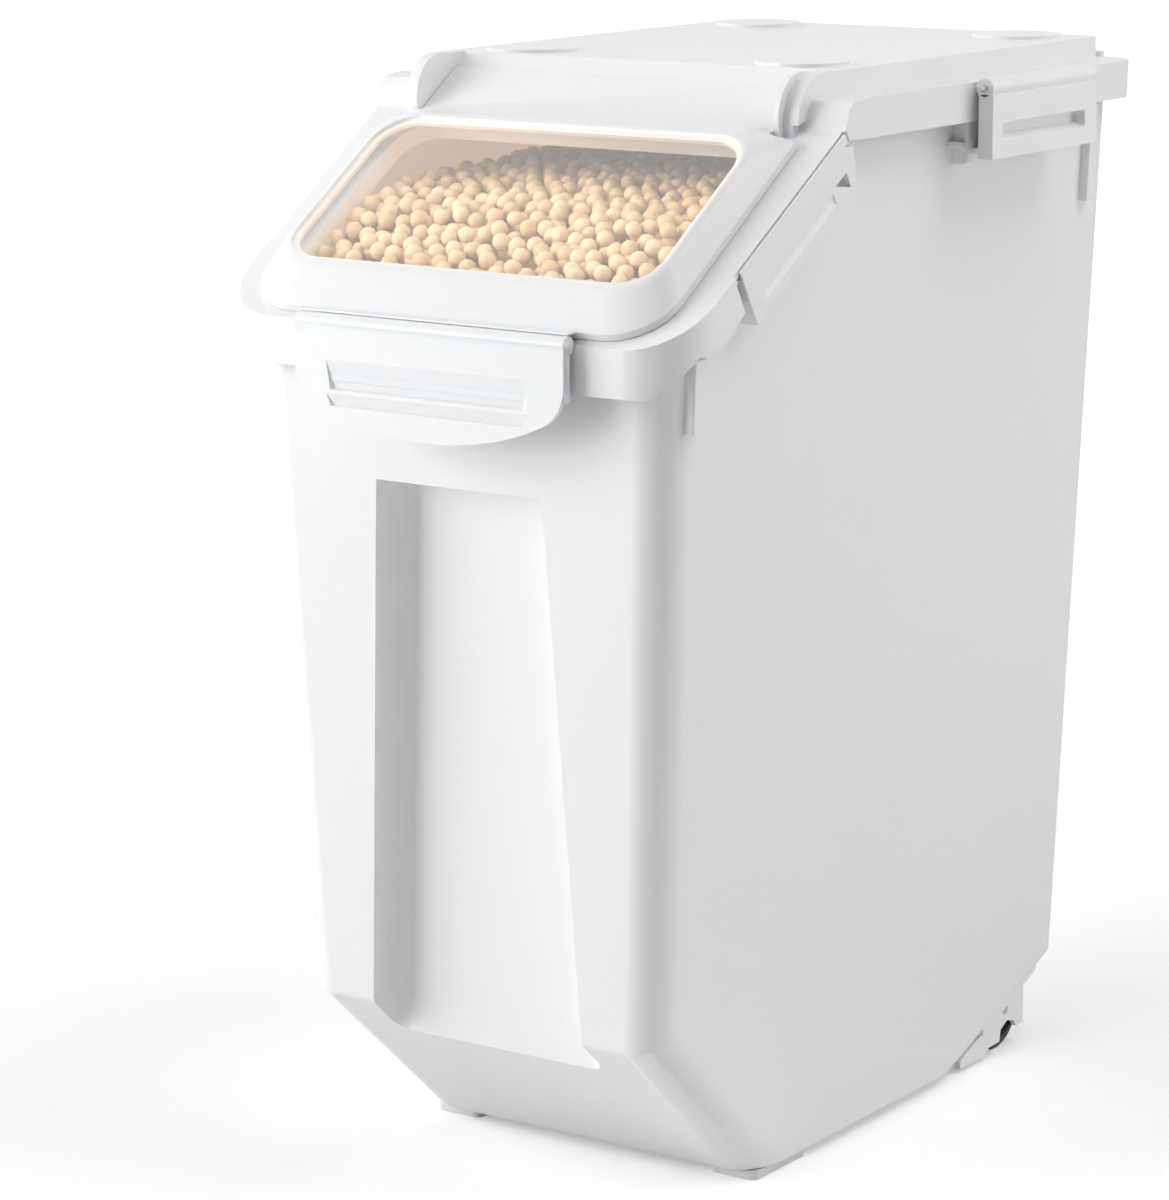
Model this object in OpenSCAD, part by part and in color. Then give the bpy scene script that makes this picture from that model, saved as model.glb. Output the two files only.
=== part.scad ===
// Tall rice bin with a slanted flip lid: a tapered tub, a lid frame clipped over its rim by two
// side latches, a hinged lid with a window and a front latch, front feet and rear wheels.
// X is the width, -Y the front, Z the height. The part stands on Z = 0.

/* [Bin body] */
// Outside width of the body at the gauge height
body_w = 210; // [190:1:230]
// Outside width of the body at its underside
base_w = 173.3; // [165:0.1:190]
// Depth of the body, from its front face to its rear wall, at the gauge height
body_d = 353; // [330:1:380]
// Height above the underside at which the width and the depth are taken
gauge_h = 400; // [380:1:420]
// How far the front wall leans outwards between the underside and the gauge height
front_lean = 17; // [10:1:24]
// Thickness of the body's walls
wall = 2.5; // [1.5:0.1:3.5]
// Thickness of the body's floor
floor_t = 3; // [2:0.1:5]
// Radius of the body's front vertical corners
front_r = 16; // [12:1:24]
// Radius of the body's rear vertical corners
rear_r = 8; // [6:1:14]
// Height of the slope between the front wall and the underside
front_ch_h = 73; // [55:1:90]
// Depth of the slope between the front wall and the underside
front_ch_run = 77; // [60:1:90]
// Height of the slope between the rear wall and the underside
rear_ch_h = 34; // [28:1:42]
// Depth of the slope between the rear wall and the underside
rear_ch_run = 86; // [75:1:95]

/* [Front recess] */
// Height of the top edge of the front recess above the underside
recess_top = 299; // [270:1:310]
// Width of the front recess at its top edge
recess_w = 82; // [60:1:100]
// How much each side of the recess spreads per millimetre downwards
recess_spread = 0.054; // [0:0.002:0.08]
// Depth of the front recess
recess_d = 16.8; // [8:0.2:20]

/* [Lid frame] */
// Height of the frame's lower ledge above the body's underside
deck_h = 452.5; // [440:0.5:465]
// Height of the raised top above the ledge
tier_h = 9.3; // [7:0.1:12]
// How far each side of the raised top stands in from the body's side at the ledge
tier_in = 9.2; // [7:0.1:12]
// Distance from the raised top's rear edge to the rear skirt
tier_rear_gap = 3.3; // [2:0.1:6]
// How far the frame's skirt stands out from the body
skirt_out = 10.3; // [9:0.1:13]
// Wall thickness of the frame
frame_t = 2.5; // [2:0.1:3]
// Depth of the skirt under the ledge
skirt_h = 16.5; // [12:0.5:20]
// Depth of the front collar below the lid's front edge
collar_h = 23.5; // [20:0.1:28]
// Slope of the lid
slope_deg = 33; // [30:0.5:36]
// Height of the ledge above the lid's front edge
slope_rise = 84.3; // [80:0.1:88]
// How far the lid's front edge stands before the body's front face
slope_front = 9; // [8:0.1:10]
// Diameter of the low stacking pads on the raised top
pad_d = 40; // [20:1:50]
// Height of the stacking pads
pad_h = 1.4; // [0.8:0.1:2]
// Reach of the rear grip behind the skirt
grip_reach = 14.7; // [12:0.1:18]
// Half width of the rear grip at its root
grip_half = 97; // [80:1:100]

/* [Flip lid] */
// How far each side of the lid stands in from the body's side at the gauge height
lid_in = 4; // [3:0.5:6]
// Radius of the lid's front corners
lid_r = 24; // [18:1:28]
// Height of the lid's edge
lid_edge = 3.2; // [2.6:0.1:4]
// Wall thickness of the lid
lid_t = 2.5; // [2:0.1:3]
// Width of the lid's band on each side of the window
window_side = 10; // [9:0.5:20]
// Radius of the window's corners
window_r = 18; // [10:1:26]
// Distance of the window's front edge up the slope from the lid's front edge
window_front = 21.5; // [18:0.1:30]
// Distance of the window's rear edge before the hinge axis
window_rear = 30.7; // [28:0.1:40]
// Height of the window's front edge over the slope
window_rise_front = 9; // [6:0.1:10]
// Height of the window's rear edge over the slope
window_rise_rear = 9; // [8:0.1:11]
// Thickness of the window pane
pane_t = 2; // [1.5:0.1:2.4]
// Thickness of the hinge ears on each side of the lid's tail
ear_t = 9.3; // [8:0.1:12]
// Radius of the lid's rounded tail about the hinge axis
tail_r = 14.8; // [14:0.1:15.5]
// Depth of the hinge axis below the lid's top surface
hinge_drop = 4; // [3.8:0.1:5]
// Diameter of the hinge pins
hinge_pin_d = 5; // [4:0.1:6]
// Width that the lid covers outside the frame's mouth on each side
mouth_lap = 7.7; // [6:0.1:9]

/* [Front latch] */
// Width of the front latch
flap_w = 132; // [110:1:140]
// Height of the front latch below its hinge at its middle
flap_h = 44; // [38:1:50]
// Radius of the front latch's curved lower edge
flap_edge_r = 144; // [120:1:200]
// Thickness of the front latch
flap_t = 2.5; // [2:0.1:3]
// Diameter of the front latch's hinge barrel
flap_barrel_d = 7.6; // [7:0.1:8]
// Distance of the front latch's hinge axis before the collar's face
flap_axis_out = 3.5; // [3.4:0.1:4.5]

/* [Side latches] */
// Length of the side latches
latch_l = 100; // [80:1:120]
// Height of the side latches below their hinge axis
latch_h = 29.6; // [27:0.1:34]
// Thickness of the side latches
latch_t = 2.5; // [2:0.1:3]
// Diameter of the side latches' hinge barrel
latch_barrel_d = 8.6; // [8:0.1:9]
// Distance from the rear wall to the middle of the side latches
latch_from_rear = 100; // [80:1:130]
// Length of the finger slot
slot_l = 75; // [50:1:80]
// Height of the finger slot
slot_h = 8; // [6:0.5:9]

/* [Wheels and feet] */
// Diameter of the wheels
wheel_d = 40; // [36:1:42]
// Width of the wheels
wheel_w = 15; // [12:0.5:16]
// Distance from the middle to each wheel
wheel_x = 72.7; // [66:0.1:73]
// Distance from the rear wall to the wheels' axles
wheel_from_rear = 39; // [37:0.5:44]
// Height of the feet
foot_h = 4; // [3:0.1:6]
// Width of the feet
foot_w = 24; // [16:1:30]
// Length of the feet
foot_l = 42; // [30:1:50]

/* [Clearances] */
// Gap between pieces that lie on each other
seat_gap = 0.3; // [0.2:0.05:0.5]
// Radial clearance of the pins in their bores
pin_gap = 0.05; // [0.02:0.01:0.1]
// Gap around pieces that swing past each other
swing_gap = 0.5; // [0.4:0.05:0.8]

/* [Hidden] */
$fn = 48;

white = "whitesmoke";
frosted = "gainsboro";

cos_s = cos(slope_deg);
sin_s = sin(slope_deg);
tan_s = tan(slope_deg);
thin = 0.01;
far = 150;
slope_z = deck_h - slope_rise;
collar_z = slope_z - collar_h;

// The tapered tub's half width and its front and rear faces at a height
function half_w(z) = base_w / 2 + (body_w - base_w) / 2 * z / gauge_h;
function front_y(z) = front_lean * (1 - z / gauge_h);
function tub_front(z) = front_y(z) + front_ch_run * max(0, 1 - z / front_ch_h);
function tub_rear(z) = body_d - rear_ch_run * max(0, 1 - z / rear_ch_h);
function underside_z(y) = (y - (body_d - rear_ch_run)) / rear_ch_run * rear_ch_h;

// A point v along the lid's slope and w above it, as [y, z]
function sp(v, w) = [-slope_front + v * cos_s - w * sin_s, slope_z + v * sin_s + w * cos_s];
// Height of the surface w above the slope at a given y
function slope_at(y, w) = slope_z + (y + slope_front) * tan_s + w / cos_s;
// Where the surface w above the slope reaches height z
function slope_y(z, w) = (z - slope_z - w / cos_s) / tan_s - slope_front;

// Stack under the lid, measured down from the slope
web_top = -(lid_edge + seat_gap);
web_t = 3;
web_bottom = web_top - web_t;
seal_t = 1;
rim_drop = web_bottom - seal_t - 2 * seat_gap;
body_rim = deck_h - web_t - seal_t - 2 * seat_gap;

// Hinge axis of the flip lid
deck_join = slope_y(deck_h, web_top);
join_v = (deck_join + slope_front) * cos_s + (deck_h - slope_z) * sin_s;
axis_v = join_v - tail_r + 0.7;
axis_yz = sp(axis_v, -hinge_drop);
trough_r = tail_r + swing_gap;
trough_outer = trough_r + frame_t;
hinge_pin_r = hinge_pin_d / 2;
pin_in = 8;

// Raised top and ears
tier_top = deck_h + tier_h;
tier_half = half_w(deck_h) - tier_in;
ear_in = tier_half - ear_t;
tail_w = 2 * (ear_in - swing_gap);
ear_r = tier_top - axis_yz[1] + 2.6;
ear_y = axis_yz[0] + 6.4;
ear_z = tier_top - ear_r;
ear_foot = axis_yz[0] + 32;
nose_y = axis_yz[0] + 10;
tier_front = nose_y + tier_h - 2.3;
tier_rear = body_d + skirt_out - tier_rear_gap;
tier_corner_r = 7;

// Lid outline up the slope
lid_front_v = 1.8;
lid_half = body_w / 2 - lid_in;
window_w = 2 * (lid_half - window_side);
lid_side_end = axis_v - 20.7;
window_v0 = window_front;
window_v1 = axis_v - window_rear;
window_p0 = sp(window_v0, window_rise_front);
window_tilt = slope_deg + atan2(window_rise_rear - window_rise_front, window_v1 - window_v0);
window_len = norm([window_v1 - window_v0, window_rise_rear - window_rise_front]);
pane_drop = 0.8;
mouth_half = lid_half - mouth_lap;
mouth_v0 = lid_front_v + 18.5;
mouth_v1 = axis_v - trough_outer - 2.2;
mouth_r = 20;
lid_rib_t = 2;
lid_rib_gap = 2.2;
lid_rib_deep = 9;

// Ribs on the body's side walls
rib_front_y = 15;
rib_front_w = 8.5;
rib_front_h = 30;
rib_rear_in = 23.5;
rib_rear_w = 7;
rib_out = 4;
rib_rear_h = 60;
recess_low = 35;
pad_in = 30;

// Slanted side flange of the body and the gap before it
slash_front_v = 44;
slash_rear_v = 48.6;
flange_deep = 30;
skirt_end_low = [axis_yz[0] + 1.6, deck_h - skirt_h];
skirt_end_high = [axis_yz[0] - 6, deck_h - 4.7];
frame_step = 1.7;
lip_drop = 4.2;

// Front latch
collar_face = front_y(slope_z) - skirt_out;
flap_axis = [collar_face - flap_axis_out, slope_z - flap_barrel_d / 2];
flap_r = flap_barrel_d / 2;
flap_front = flap_axis[0] - flap_r;
flap_lug_x = 29;
flap_lug_w = 10;
flap_pin_r = 1.5;
flap_pin_half = flap_w / 2 - 6;
flap_bottom = flap_axis[1] - flap_h;
flap_side = 5;

// Side latches
latch_y = body_d - latch_from_rear;
latch_r = latch_barrel_d / 2;
latch_z = deck_h - 2.4;
latch_x = half_w(latch_z) + skirt_out + latch_r + swing_gap;
latch_lug_w = 10;
latch_lug_y = latch_l / 4;
latch_pin_r = 1.5;
catch_z = latch_z - latch_h + 4.2;
catch_t = 2.7;
catch_out = 6;
slot_z = latch_z - latch_h + 6.4;

// Wheels
wheel_r = wheel_d / 2;
wheel_y = body_d - wheel_from_rear;
wheel_z = wheel_r - foot_h;
axle_r = 2.5;
wheel_gap = 1.5;
cheek_t = 2.5;
bracket_half = wheel_w / 2 + wheel_gap + cheek_t;
well_half = bracket_half + seat_gap;
well_front = wheel_y - wheel_r - 2.6;
well_rear = wheel_y + wheel_r + 2.6;
well_top = wheel_z + wheel_r + 0.9 + cheek_t + seat_gap;

// Feet
foot_x = base_w / 2 - foot_w / 2 - 2.6;
foot_y = tub_front(0) + 4 + foot_l / 2;

// Overall depth, from the front latch to the rear grip
rear_most = body_d + skirt_out + grip_reach;
mid_y = (flap_front + rear_most) / 2;

module place() translate([0, -mid_y, foot_h]) children();
module both_sides() for (side = [0, 1]) mirror([side, 0, 0]) children();

// A prism along X of an outline given as [y, z] points
module x_prism(points, half = far) {
    rotate([90, 0, 90]) translate([0, 0, -half]) linear_extrude(2 * half) polygon(points);
}

// The same, between two values of X
module x_slice(points, x0, x1) {
    rotate([90, 0, 90]) translate([0, 0, x0]) linear_extrude(x1 - x0) polygon(points);
}

// A prism along Y of an outline given as [x, z] points
module y_prism(points, y0, y1) {
    translate([0, y1, 0]) rotate([90, 0, 0]) linear_extrude(y1 - y0) polygon(points);
}

module x_rod(r, x0, x1, yz) {
    translate([x0, yz[0], yz[1]]) rotate([0, 90, 0]) cylinder(r = r, h = x1 - x0);
}

module y_rod(r, y0, y1, xz) {
    translate([xz[0], y0, xz[1]]) rotate([-90, 0, 0]) cylinder(r = r, h = y1 - y0);
}

module on_slope() translate([0, -slope_front, slope_z]) rotate([slope_deg, 0, 0]) children();
module on_window() translate([0, window_p0[0], window_p0[1]]) rotate([window_tilt, 0, 0]) children();

// A rounded rectangle from y0 to y1, half wide on each side
module rounded(half, y0, y1, r) {
    translate([-half + r, y0]) square([2 * (half - r), y1 - y0]);
    translate([-half, y0 + r]) square([2 * half, y1 - y0 - 2 * r]);
    for (sx = [-1, 1], y = [y0 + r, y1 - r]) translate([sx * (half - r), y]) circle(r = r);
}

// One upright corner of the tub at a height, on the front or the rear wall
module front_corner(z, shift, r) {
    translate([half_w(z) - front_r, tub_front(z) + front_r + shift, z]) cylinder(r = r, h = thin, $fn = 32);
}
module rear_corner(z, shift, r) {
    translate([half_w(z) - rear_r, tub_rear(z) - rear_r - shift, z]) cylinder(r = r, h = thin, $fn = 32);
}

// The tub's outer shape, grown outwards by a distance
module tub(grow) {
    top = deck_h + 20;
    hull() both_sides() {
        for (z = [0, front_ch_h, top]) front_corner(z, 0, front_r + grow);
        for (z = [0, rear_ch_h, top]) rear_corner(z, 0, rear_r + grow);
    }
}

// The tub's hollow, a wall inside its outer shape and a little more along the two slopes
module tub_hollow() {
    top = deck_h + 20;
    front_slant = wall * (norm([front_ch_run, front_ch_h]) / front_ch_h - 1);
    rear_slant = wall * (norm([rear_ch_run, rear_ch_h]) / rear_ch_h - 1);
    hull() both_sides() {
        for (z = [floor_t, front_ch_h]) front_corner(z, front_slant, front_r - wall);
        front_corner(top, 0, front_r - wall);
        rear_corner(floor_t, rear_slant, rear_r - wall);
        for (z = [rear_ch_h, top]) rear_corner(z, 0, rear_r - wall);
    }
}

// A slab along each side wall, between two distances from it
module side_band(inner, outer, y0, y1) {
    z0 = 250;
    z1 = deck_h + 20;
    both_sides() y_prism([
        [half_w(z0) + inner, z0], [half_w(z0) + outer, z0],
        [half_w(z1) + outer, z1], [half_w(z1) + inner, z1]
    ], y0, y1);
}

// The front recess, or with grow its wall's inner shape
module recess(grow) {
    top = recess_top + grow;
    low = recess_low - grow;
    half_top = recess_w / 2 + grow;
    half_low = half_top + (recess_top - low) * recess_spread;
    deep = recess_d + grow;
    intersection() {
        y_prism([[-half_low, low], [half_low, low], [half_top, top], [-half_top, top]], -40, 120);
        x_prism([[-40, low], [front_y(low) + deep, low], [front_y(top) + deep, top], [-40, top]]);
    }
}

module wheel_well(grow) {
    both_sides() translate([wheel_x - well_half - grow, well_front - grow, -20])
        cube([2 * (well_half + grow), well_rear - well_front + 2 * grow, well_top + 20 + grow]);
}

// Everything above the body's rim
module above_rim() {
    x_prism([
        [-60, slope_at(-60, rim_drop)], [slope_y(body_rim, rim_drop), body_rim],
        [body_d + 60, body_rim], [body_d + 60, deck_h + 60], [-60, deck_h + 60]
    ]);
}

// Slanted flange along each side of the body, open below
module side_flange() {
    low = flange_deep + 1;
    end_v = axis_v - 12.5;
    profile = [
        sp(slash_rear_v, rim_drop + 3), sp(end_v - 6, rim_drop + 3),
        skirt_end_low - [2.6, 2], sp(end_v, -flange_deep), sp(slash_rear_v, -low)
    ];
    hollow = [
        sp(slash_rear_v + wall, rim_drop - wall), sp(end_v - 9, rim_drop - wall),
        sp(end_v - 9, -low - 9), sp(slash_rear_v + wall, -low - 9)
    ];
    y_end = body_d / 2;
    difference() {
        intersection() {
            side_band(-wall / 2, skirt_out, 0, y_end);
            x_prism(profile);
        }
        intersection() {
            side_band(-wall / 4, skirt_out - wall, 0, y_end);
            x_prism(hollow);
        }
    }
}

// Lip on the flange, around the frame's narrower edge
module flange_lip() {
    lip = [
        sp(slash_rear_v + 0.3, rim_drop - 0.5), sp(slash_rear_v + 0.3, -lip_drop),
        sp(axis_v - 9.5, -lip_drop), sp(axis_v - 9.5, rim_drop - 0.5)
    ];
    intersection() {
        side_band(skirt_out - frame_step + 0.4, skirt_out - 0.05, 0, body_d / 2);
        x_prism(lip);
    }
}

// Upright ribs on the side walls and the ledges that the side latches hook under
module side_ribs() {
    intersection() {
        side_band(-wall / 2, rib_out, 0, body_d);
        union() {
            translate([-far, rib_front_y, collar_z + 14 - rib_front_h])
                cube([2 * far, rib_front_w, rib_front_h]);
            translate([-far, body_d - rib_rear_in, deck_h - rib_rear_h - 1.5])
                cube([2 * far, rib_rear_w, rib_rear_h - skirt_h]);
        }
    }
    intersection() {
        side_band(-wall / 2, catch_out, 0, body_d);
        translate([-far, latch_y - latch_l / 2 + 6, catch_z]) cube([2 * far, latch_l - 12, catch_t]);
    }
}

module bin_body() color(white) place() {
    difference() {
        union() {
            difference() {
                union() {
                    tub(0);
                    side_flange();
                }
                above_rim();
            }
            flange_lip();
            side_ribs();
        }
        difference() {
            tub_hollow();
            recess(wall);
            wheel_well(wall);
        }
        recess(0);
        wheel_well(0);
    }
}

// Outline of the frame's skin from the side: slanted web, deck, skirt and front collar
frame_outline = [
    [-60, slope_at(-60, web_top)], [skirt_end_high[0] - 3, slope_at(skirt_end_high[0] - 3, web_top)],
    skirt_end_high, skirt_end_high + [3.5, 3.2], [skirt_end_high[0] + 13, deck_h],
    [body_d + 60, deck_h], [body_d + 60, deck_h - skirt_h], skirt_end_low,
    [skirt_end_high[0] - 1.5, slope_at(skirt_end_high[0] - 1.5, web_bottom)],
    sp(slash_front_v, web_bottom), sp(slash_front_v, web_bottom - 13.5),
    [front_y(collar_z) + 25, collar_z + 20], [front_y(collar_z) + 8, collar_z + 17],
    [front_y(collar_z) - 5, collar_z + 4], [front_y(collar_z) - 7.5, collar_z], [-60, collar_z]
];
frame_inside = [
    [-60, slope_at(-60, web_bottom)], [slope_y(deck_h - web_t, web_bottom), deck_h - web_t],
    [body_d + 60, deck_h - web_t], [body_d + 60, 200], [-60, 200]
];

// Raised top: a shallow box whose front slopes down to the lid's tail
module raised_top() {
    inner_front = nose_y + frame_t;
    difference() {
        intersection() {
            x_prism([
                [nose_y, deck_h - web_t], [nose_y, deck_h + 2.3], [tier_front, tier_top],
                [tier_rear, tier_top], [tier_rear, deck_h - web_t]
            ], tier_half);
            translate([0, 0, deck_h - 40]) linear_extrude(80)
                rounded(tier_half, nose_y - 20, tier_rear, tier_corner_r);
        }
        x_prism([
            [inner_front + 6, deck_h - web_t - 1], [inner_front + 6, tier_top - web_t],
            [tier_rear - frame_t, tier_top - web_t], [tier_rear - frame_t, deck_h - web_t - 1]
        ], tier_half - frame_t);
    }
    for (sx = [-1, 1], y = [nose_y + 28, tier_rear - 24])
        translate([sx * (tier_half - pad_in), y, tier_top - 1]) cylinder(d = pad_d, h = pad_h + 1);
}

// Rounded ears that hold the hinge pins, standing before the raised top on each side
module ears() {
    arc = [for (a = [180:-6:90]) [ear_y + ear_r * cos(a), ear_z + ear_r * sin(a)]];
    skin = concat(arc, [[ear_foot, tier_top], [ear_foot, deck_h]]);
    core = concat(arc, [
        [ear_foot, tier_top], [ear_foot, deck_h - web_t],
        [ear_y - ear_r + 12, slope_at(ear_y - ear_r + 12, web_bottom)],
        [ear_y - ear_r + 1, slope_at(ear_y - ear_r + 1, web_bottom)]
    ]);
    both_sides() {
        x_slice(skin, ear_in, tier_half);
        x_slice(core, ear_in, tier_half - frame_t);
        x_rod(trough_outer, ear_in, ear_in + frame_t, axis_yz);
    }
}

// Curved trough under the lid's tail
module trough() {
    front = axis_yz[0] - trough_outer - 2;
    intersection() {
        x_rod(trough_outer, -ear_in - 1, ear_in + 1, axis_yz);
        x_prism([
            [front, axis_yz[1] - 30], [front, slope_at(front, web_top)],
            [axis_yz[0] + 2, slope_at(axis_yz[0] + 2, web_top)], [nose_y, deck_h + 2.3],
            [tier_front, tier_top], [tier_front + 9, tier_top], [tier_front + 9, axis_yz[1] - 30]
        ]);
    }
}

// Loop behind the skirt for lifting the bin
module rear_grip() {
    root = body_d + skirt_out - 1.5;
    bar = 6;
    difference() {
        translate([0, 0, deck_h - 8]) linear_extrude(10) polygon([
            [-grip_half, root], [grip_half, root], [grip_half - 2, rear_most - 9],
            [grip_half - 12, rear_most], [12 - grip_half, rear_most], [2 - grip_half, rear_most - 9]
        ]);
        translate([0, 0, deck_h - 20]) linear_extrude(40) polygon([
            [bar + 2 - grip_half, root + 1.5], [grip_half - bar - 2, root + 1.5],
            [grip_half - bar - 5, rear_most - bar - 4], [grip_half - bar - 11, rear_most - bar],
            [bar + 11 - grip_half, rear_most - bar], [bar + 5 - grip_half, rear_most - bar - 4]
        ]);
    }
}

// Lugs on the skirt that carry the side latches' pins
module latch_lugs() {
    wall_x = latch_x - latch_r - swing_gap - 1;
    lug_r = latch_r - 0.3;
    both_sides() for (dy = [-latch_lug_y, latch_lug_y]) {
        y0 = latch_y + dy - latch_lug_w / 2;
        difference() {
            union() {
                y_rod(lug_r, y0, y0 + latch_lug_w, [latch_x, latch_z]);
                translate([wall_x, y0, latch_z - lug_r])
                    cube([latch_x - wall_x, latch_lug_w, 2 * lug_r - 1.6]);
            }
            y_rod(latch_pin_r + pin_gap, y0 - 1, y0 + latch_lug_w + 1, [latch_x, latch_z]);
        }
    }
}

module lid_frame() color(white) place() {
    difference() {
        union() {
            difference() {
                intersection() {
                    tub(skirt_out);
                    x_prism(frame_outline);
                }
                intersection() {
                    tub(skirt_out - frame_t);
                    x_prism(frame_inside);
                }
                // Narrower edge where the body's flange stands outside it
                intersection() {
                    side_band(skirt_out - frame_step, skirt_out + 5, -20, body_d / 2);
                    x_prism([
                        sp(slash_front_v + 1, 20), sp(slash_front_v + 1, -20),
                        sp(axis_v - 8.5, -20), sp(axis_v - 8.5, web_top + 0.2)
                    ]);
                }
                // Hollow under the raised top
                x_prism([
                    [nose_y + 14, deck_h - 9], [nose_y + 14, deck_h + 1],
                    [tier_rear - frame_t, deck_h + 1], [tier_rear - frame_t, deck_h - 9]
                ], tier_half - frame_t);
            }
            raised_top();
            ears();
            trough();
            rear_grip();
            latch_lugs();
        }
        on_slope() translate([0, 0, -30]) linear_extrude(28) rounded(mouth_half, mouth_v0, mouth_v1, mouth_r);
        x_rod(trough_r, -ear_in, ear_in, axis_yz);
        both_sides() x_rod(hinge_pin_r + pin_gap, ear_in - 1, ear_in + 6.5, axis_yz);
        x_rod(flap_r + swing_gap, -flap_w / 2 - 1.5, flap_w / 2 + 1.5, flap_axis);
    }
}

// Soft seal between the body's rim and the frame
module frame_seal() color("lightgray") place() {
    top = web_bottom - seat_gap;
    top_z = deck_h - web_t - seat_gap;
    intersection() {
        difference() {
            tub(1);
            tub(-wall - 1);
        }
        x_prism([
            [-60, slope_at(-60, top)], [slope_y(top_z, top), top_z], [body_d + 60, top_z],
            [body_d + 60, top_z - seal_t], [slope_y(top_z - seal_t, top - seal_t), top_z - seal_t],
            [-60, slope_at(-60, top - seal_t)]
        ]);
    }
}

// Outline of the lid's foot on the slope, a little inside its edge
module lid_plan() {
    inset = 1.2;
    difference() {
        rounded(lid_half - inset, lid_front_v + inset, lid_side_end + lid_r, lid_r - inset);
        translate([-far, lid_side_end - inset]) square([2 * far, 60]);
    }
}

// The lid's raised skin, as one solid
module pillow(inset) {
    top_r = window_r + lid_t - 1.3 * inset;
    base_r = lid_r - inset;
    hull() {
        on_slope() for (sx = [-1, 1]) {
            translate([sx * (lid_half - lid_r), lid_front_v + lid_r, -lid_edge - (inset > 0 ? 1 : 0)])
                cylinder(r = base_r, h = lid_edge - (inset > 0 ? 0.8 : 0), $fn = 32);
            translate([sx * (lid_half - 2 - inset), lid_side_end - 2 - inset, -lid_edge - (inset > 0 ? 1 : 0)])
                cylinder(r = 2, h = lid_edge - (inset > 0 ? 0.8 : 0), $fn = 32);
            translate([sx * (tail_w / 2 - 4 - inset), axis_v - 15 - inset, -lid_edge])
                cylinder(r = 2, h = lid_edge - inset, $fn = 32);
        }
        on_window() for (sx = [-1, 1], y = [window_r, window_len - window_r]) {
            translate([sx * (window_w / 2 - window_r), y, -thin - inset])
                cylinder(r = top_r, h = thin, $fn = 32);
        }
    }
}

// Lugs at the lid's front edge that carry the front latch's pin
module flap_lugs() {
    lug_r = flap_r - 0.2;
    y = flap_axis[0];
    z = flap_axis[1];
    edge = sp(lid_front_v, 0);
    for (sx = [-1, 1]) {
        x0 = sx * flap_lug_x - flap_lug_w / 2;
        x_rod(lug_r, x0, x0 + flap_lug_w, flap_axis);
        x_slice([
            [y, z + lug_r], [edge[0], edge[1]], [edge[0] + 3, edge[1] + 1.4],
            [edge[0] + 3, slope_at(edge[0] + 3, web_top) + swing_gap],
            [collar_face + 0.2, slope_at(collar_face, web_top) + swing_gap], [y, z]
        ], x0, x0 + flap_lug_w);
    }
}

// Side view of the lid's tail, as v and w on the slope: a plate that ends in a half-round roll
module tail_outline() {
    intersection() {
        translate([axis_v, -hinge_drop]) circle(r = tail_r);
        translate([axis_v - 40, -60]) square([80, 60]);
    }
    translate([axis_v - 22, -lid_edge]) square([22, lid_edge]);
}

// What is hollow under the tail between its two end blocks
module tail_pocket() {
    intersection() {
        union() {
            translate([axis_v, -hinge_drop]) circle(r = tail_r - lid_t);
            translate([axis_v - 40, -60]) square([38, 60]);
        }
        translate([axis_v - 50, -70]) square([100, 70 - lid_edge]);
    }
}

module tail() {
    block = 10;
    outer = tail_w / 2 + 0.5;
    inner = tail_w / 2 - block;
    on_slope() rotate([90, 0, 90]) difference() {
        translate([0, 0, -outer]) linear_extrude(2 * outer) tail_outline();
        translate([0, 0, -inner]) linear_extrude(2 * inner) tail_pocket();
    }
}

module flip_lid() color(frosted) place() {
    inner_half = mouth_half - lid_rib_gap;
    inner_v0 = mouth_v0 + lid_rib_gap;
    inner_v1 = mouth_v1 - lid_rib_gap;
    inner_r = mouth_r - lid_rib_gap;
    difference() {
        union() {
            difference() {
                pillow(0);
                pillow(lid_t);
            }
            // Flange at the lid's foot and the rib that hangs into the frame's mouth
            on_slope() difference() {
                union() {
                    translate([0, 0, -lid_edge]) linear_extrude(2) lid_plan();
                    translate([0, 0, -lid_rib_deep]) linear_extrude(lid_rib_deep - lid_edge + 1)
                        rounded(inner_half, inner_v0, inner_v1, inner_r);
                }
                translate([0, 0, -lid_rib_deep - 1]) linear_extrude(lid_rib_deep + 2)
                    rounded(inner_half - lid_rib_t, inner_v0 + lid_rib_t, inner_v1 - lid_rib_t, inner_r - lid_rib_t);
            }
            // Ledge under the pane
            on_window() translate([0, 0, -pane_drop - pane_t - 1.6]) linear_extrude(1.6) difference() {
                rounded(window_w / 2 + 2, -2, window_len + 2, window_r + 2);
                rounded(window_w / 2 - 2.5, 2.5, window_len - 2.5, window_r - 2.5);
            }
            tail();
            flap_lugs();
        }
        // Window opening
        on_window() translate([0, 0, -pane_drop - pane_t]) linear_extrude(30)
            rounded(window_w / 2, 0, window_len, window_r);
        // Room for the ears beside the tail
        both_sides() on_slope() translate([tail_w / 2, lid_side_end, -40]) cube([60, 80, 90]);
        both_sides() x_rod(hinge_pin_r + pin_gap, tail_w / 2 - pin_in - seat_gap, tail_w / 2 + 1, axis_yz);
        x_rod(flap_pin_r + pin_gap, -flap_pin_half - 1, flap_pin_half + 1, flap_axis);
    }
}

module lid_window() color("aliceblue", 0.5) place() {
    on_window() translate([0, 0, -pane_drop - pane_t + 0.05]) linear_extrude(pane_t - 0.05)
        rounded(window_w / 2 - 0.15, 0.15, window_len - 0.15, window_r - 0.15);
}

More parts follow.
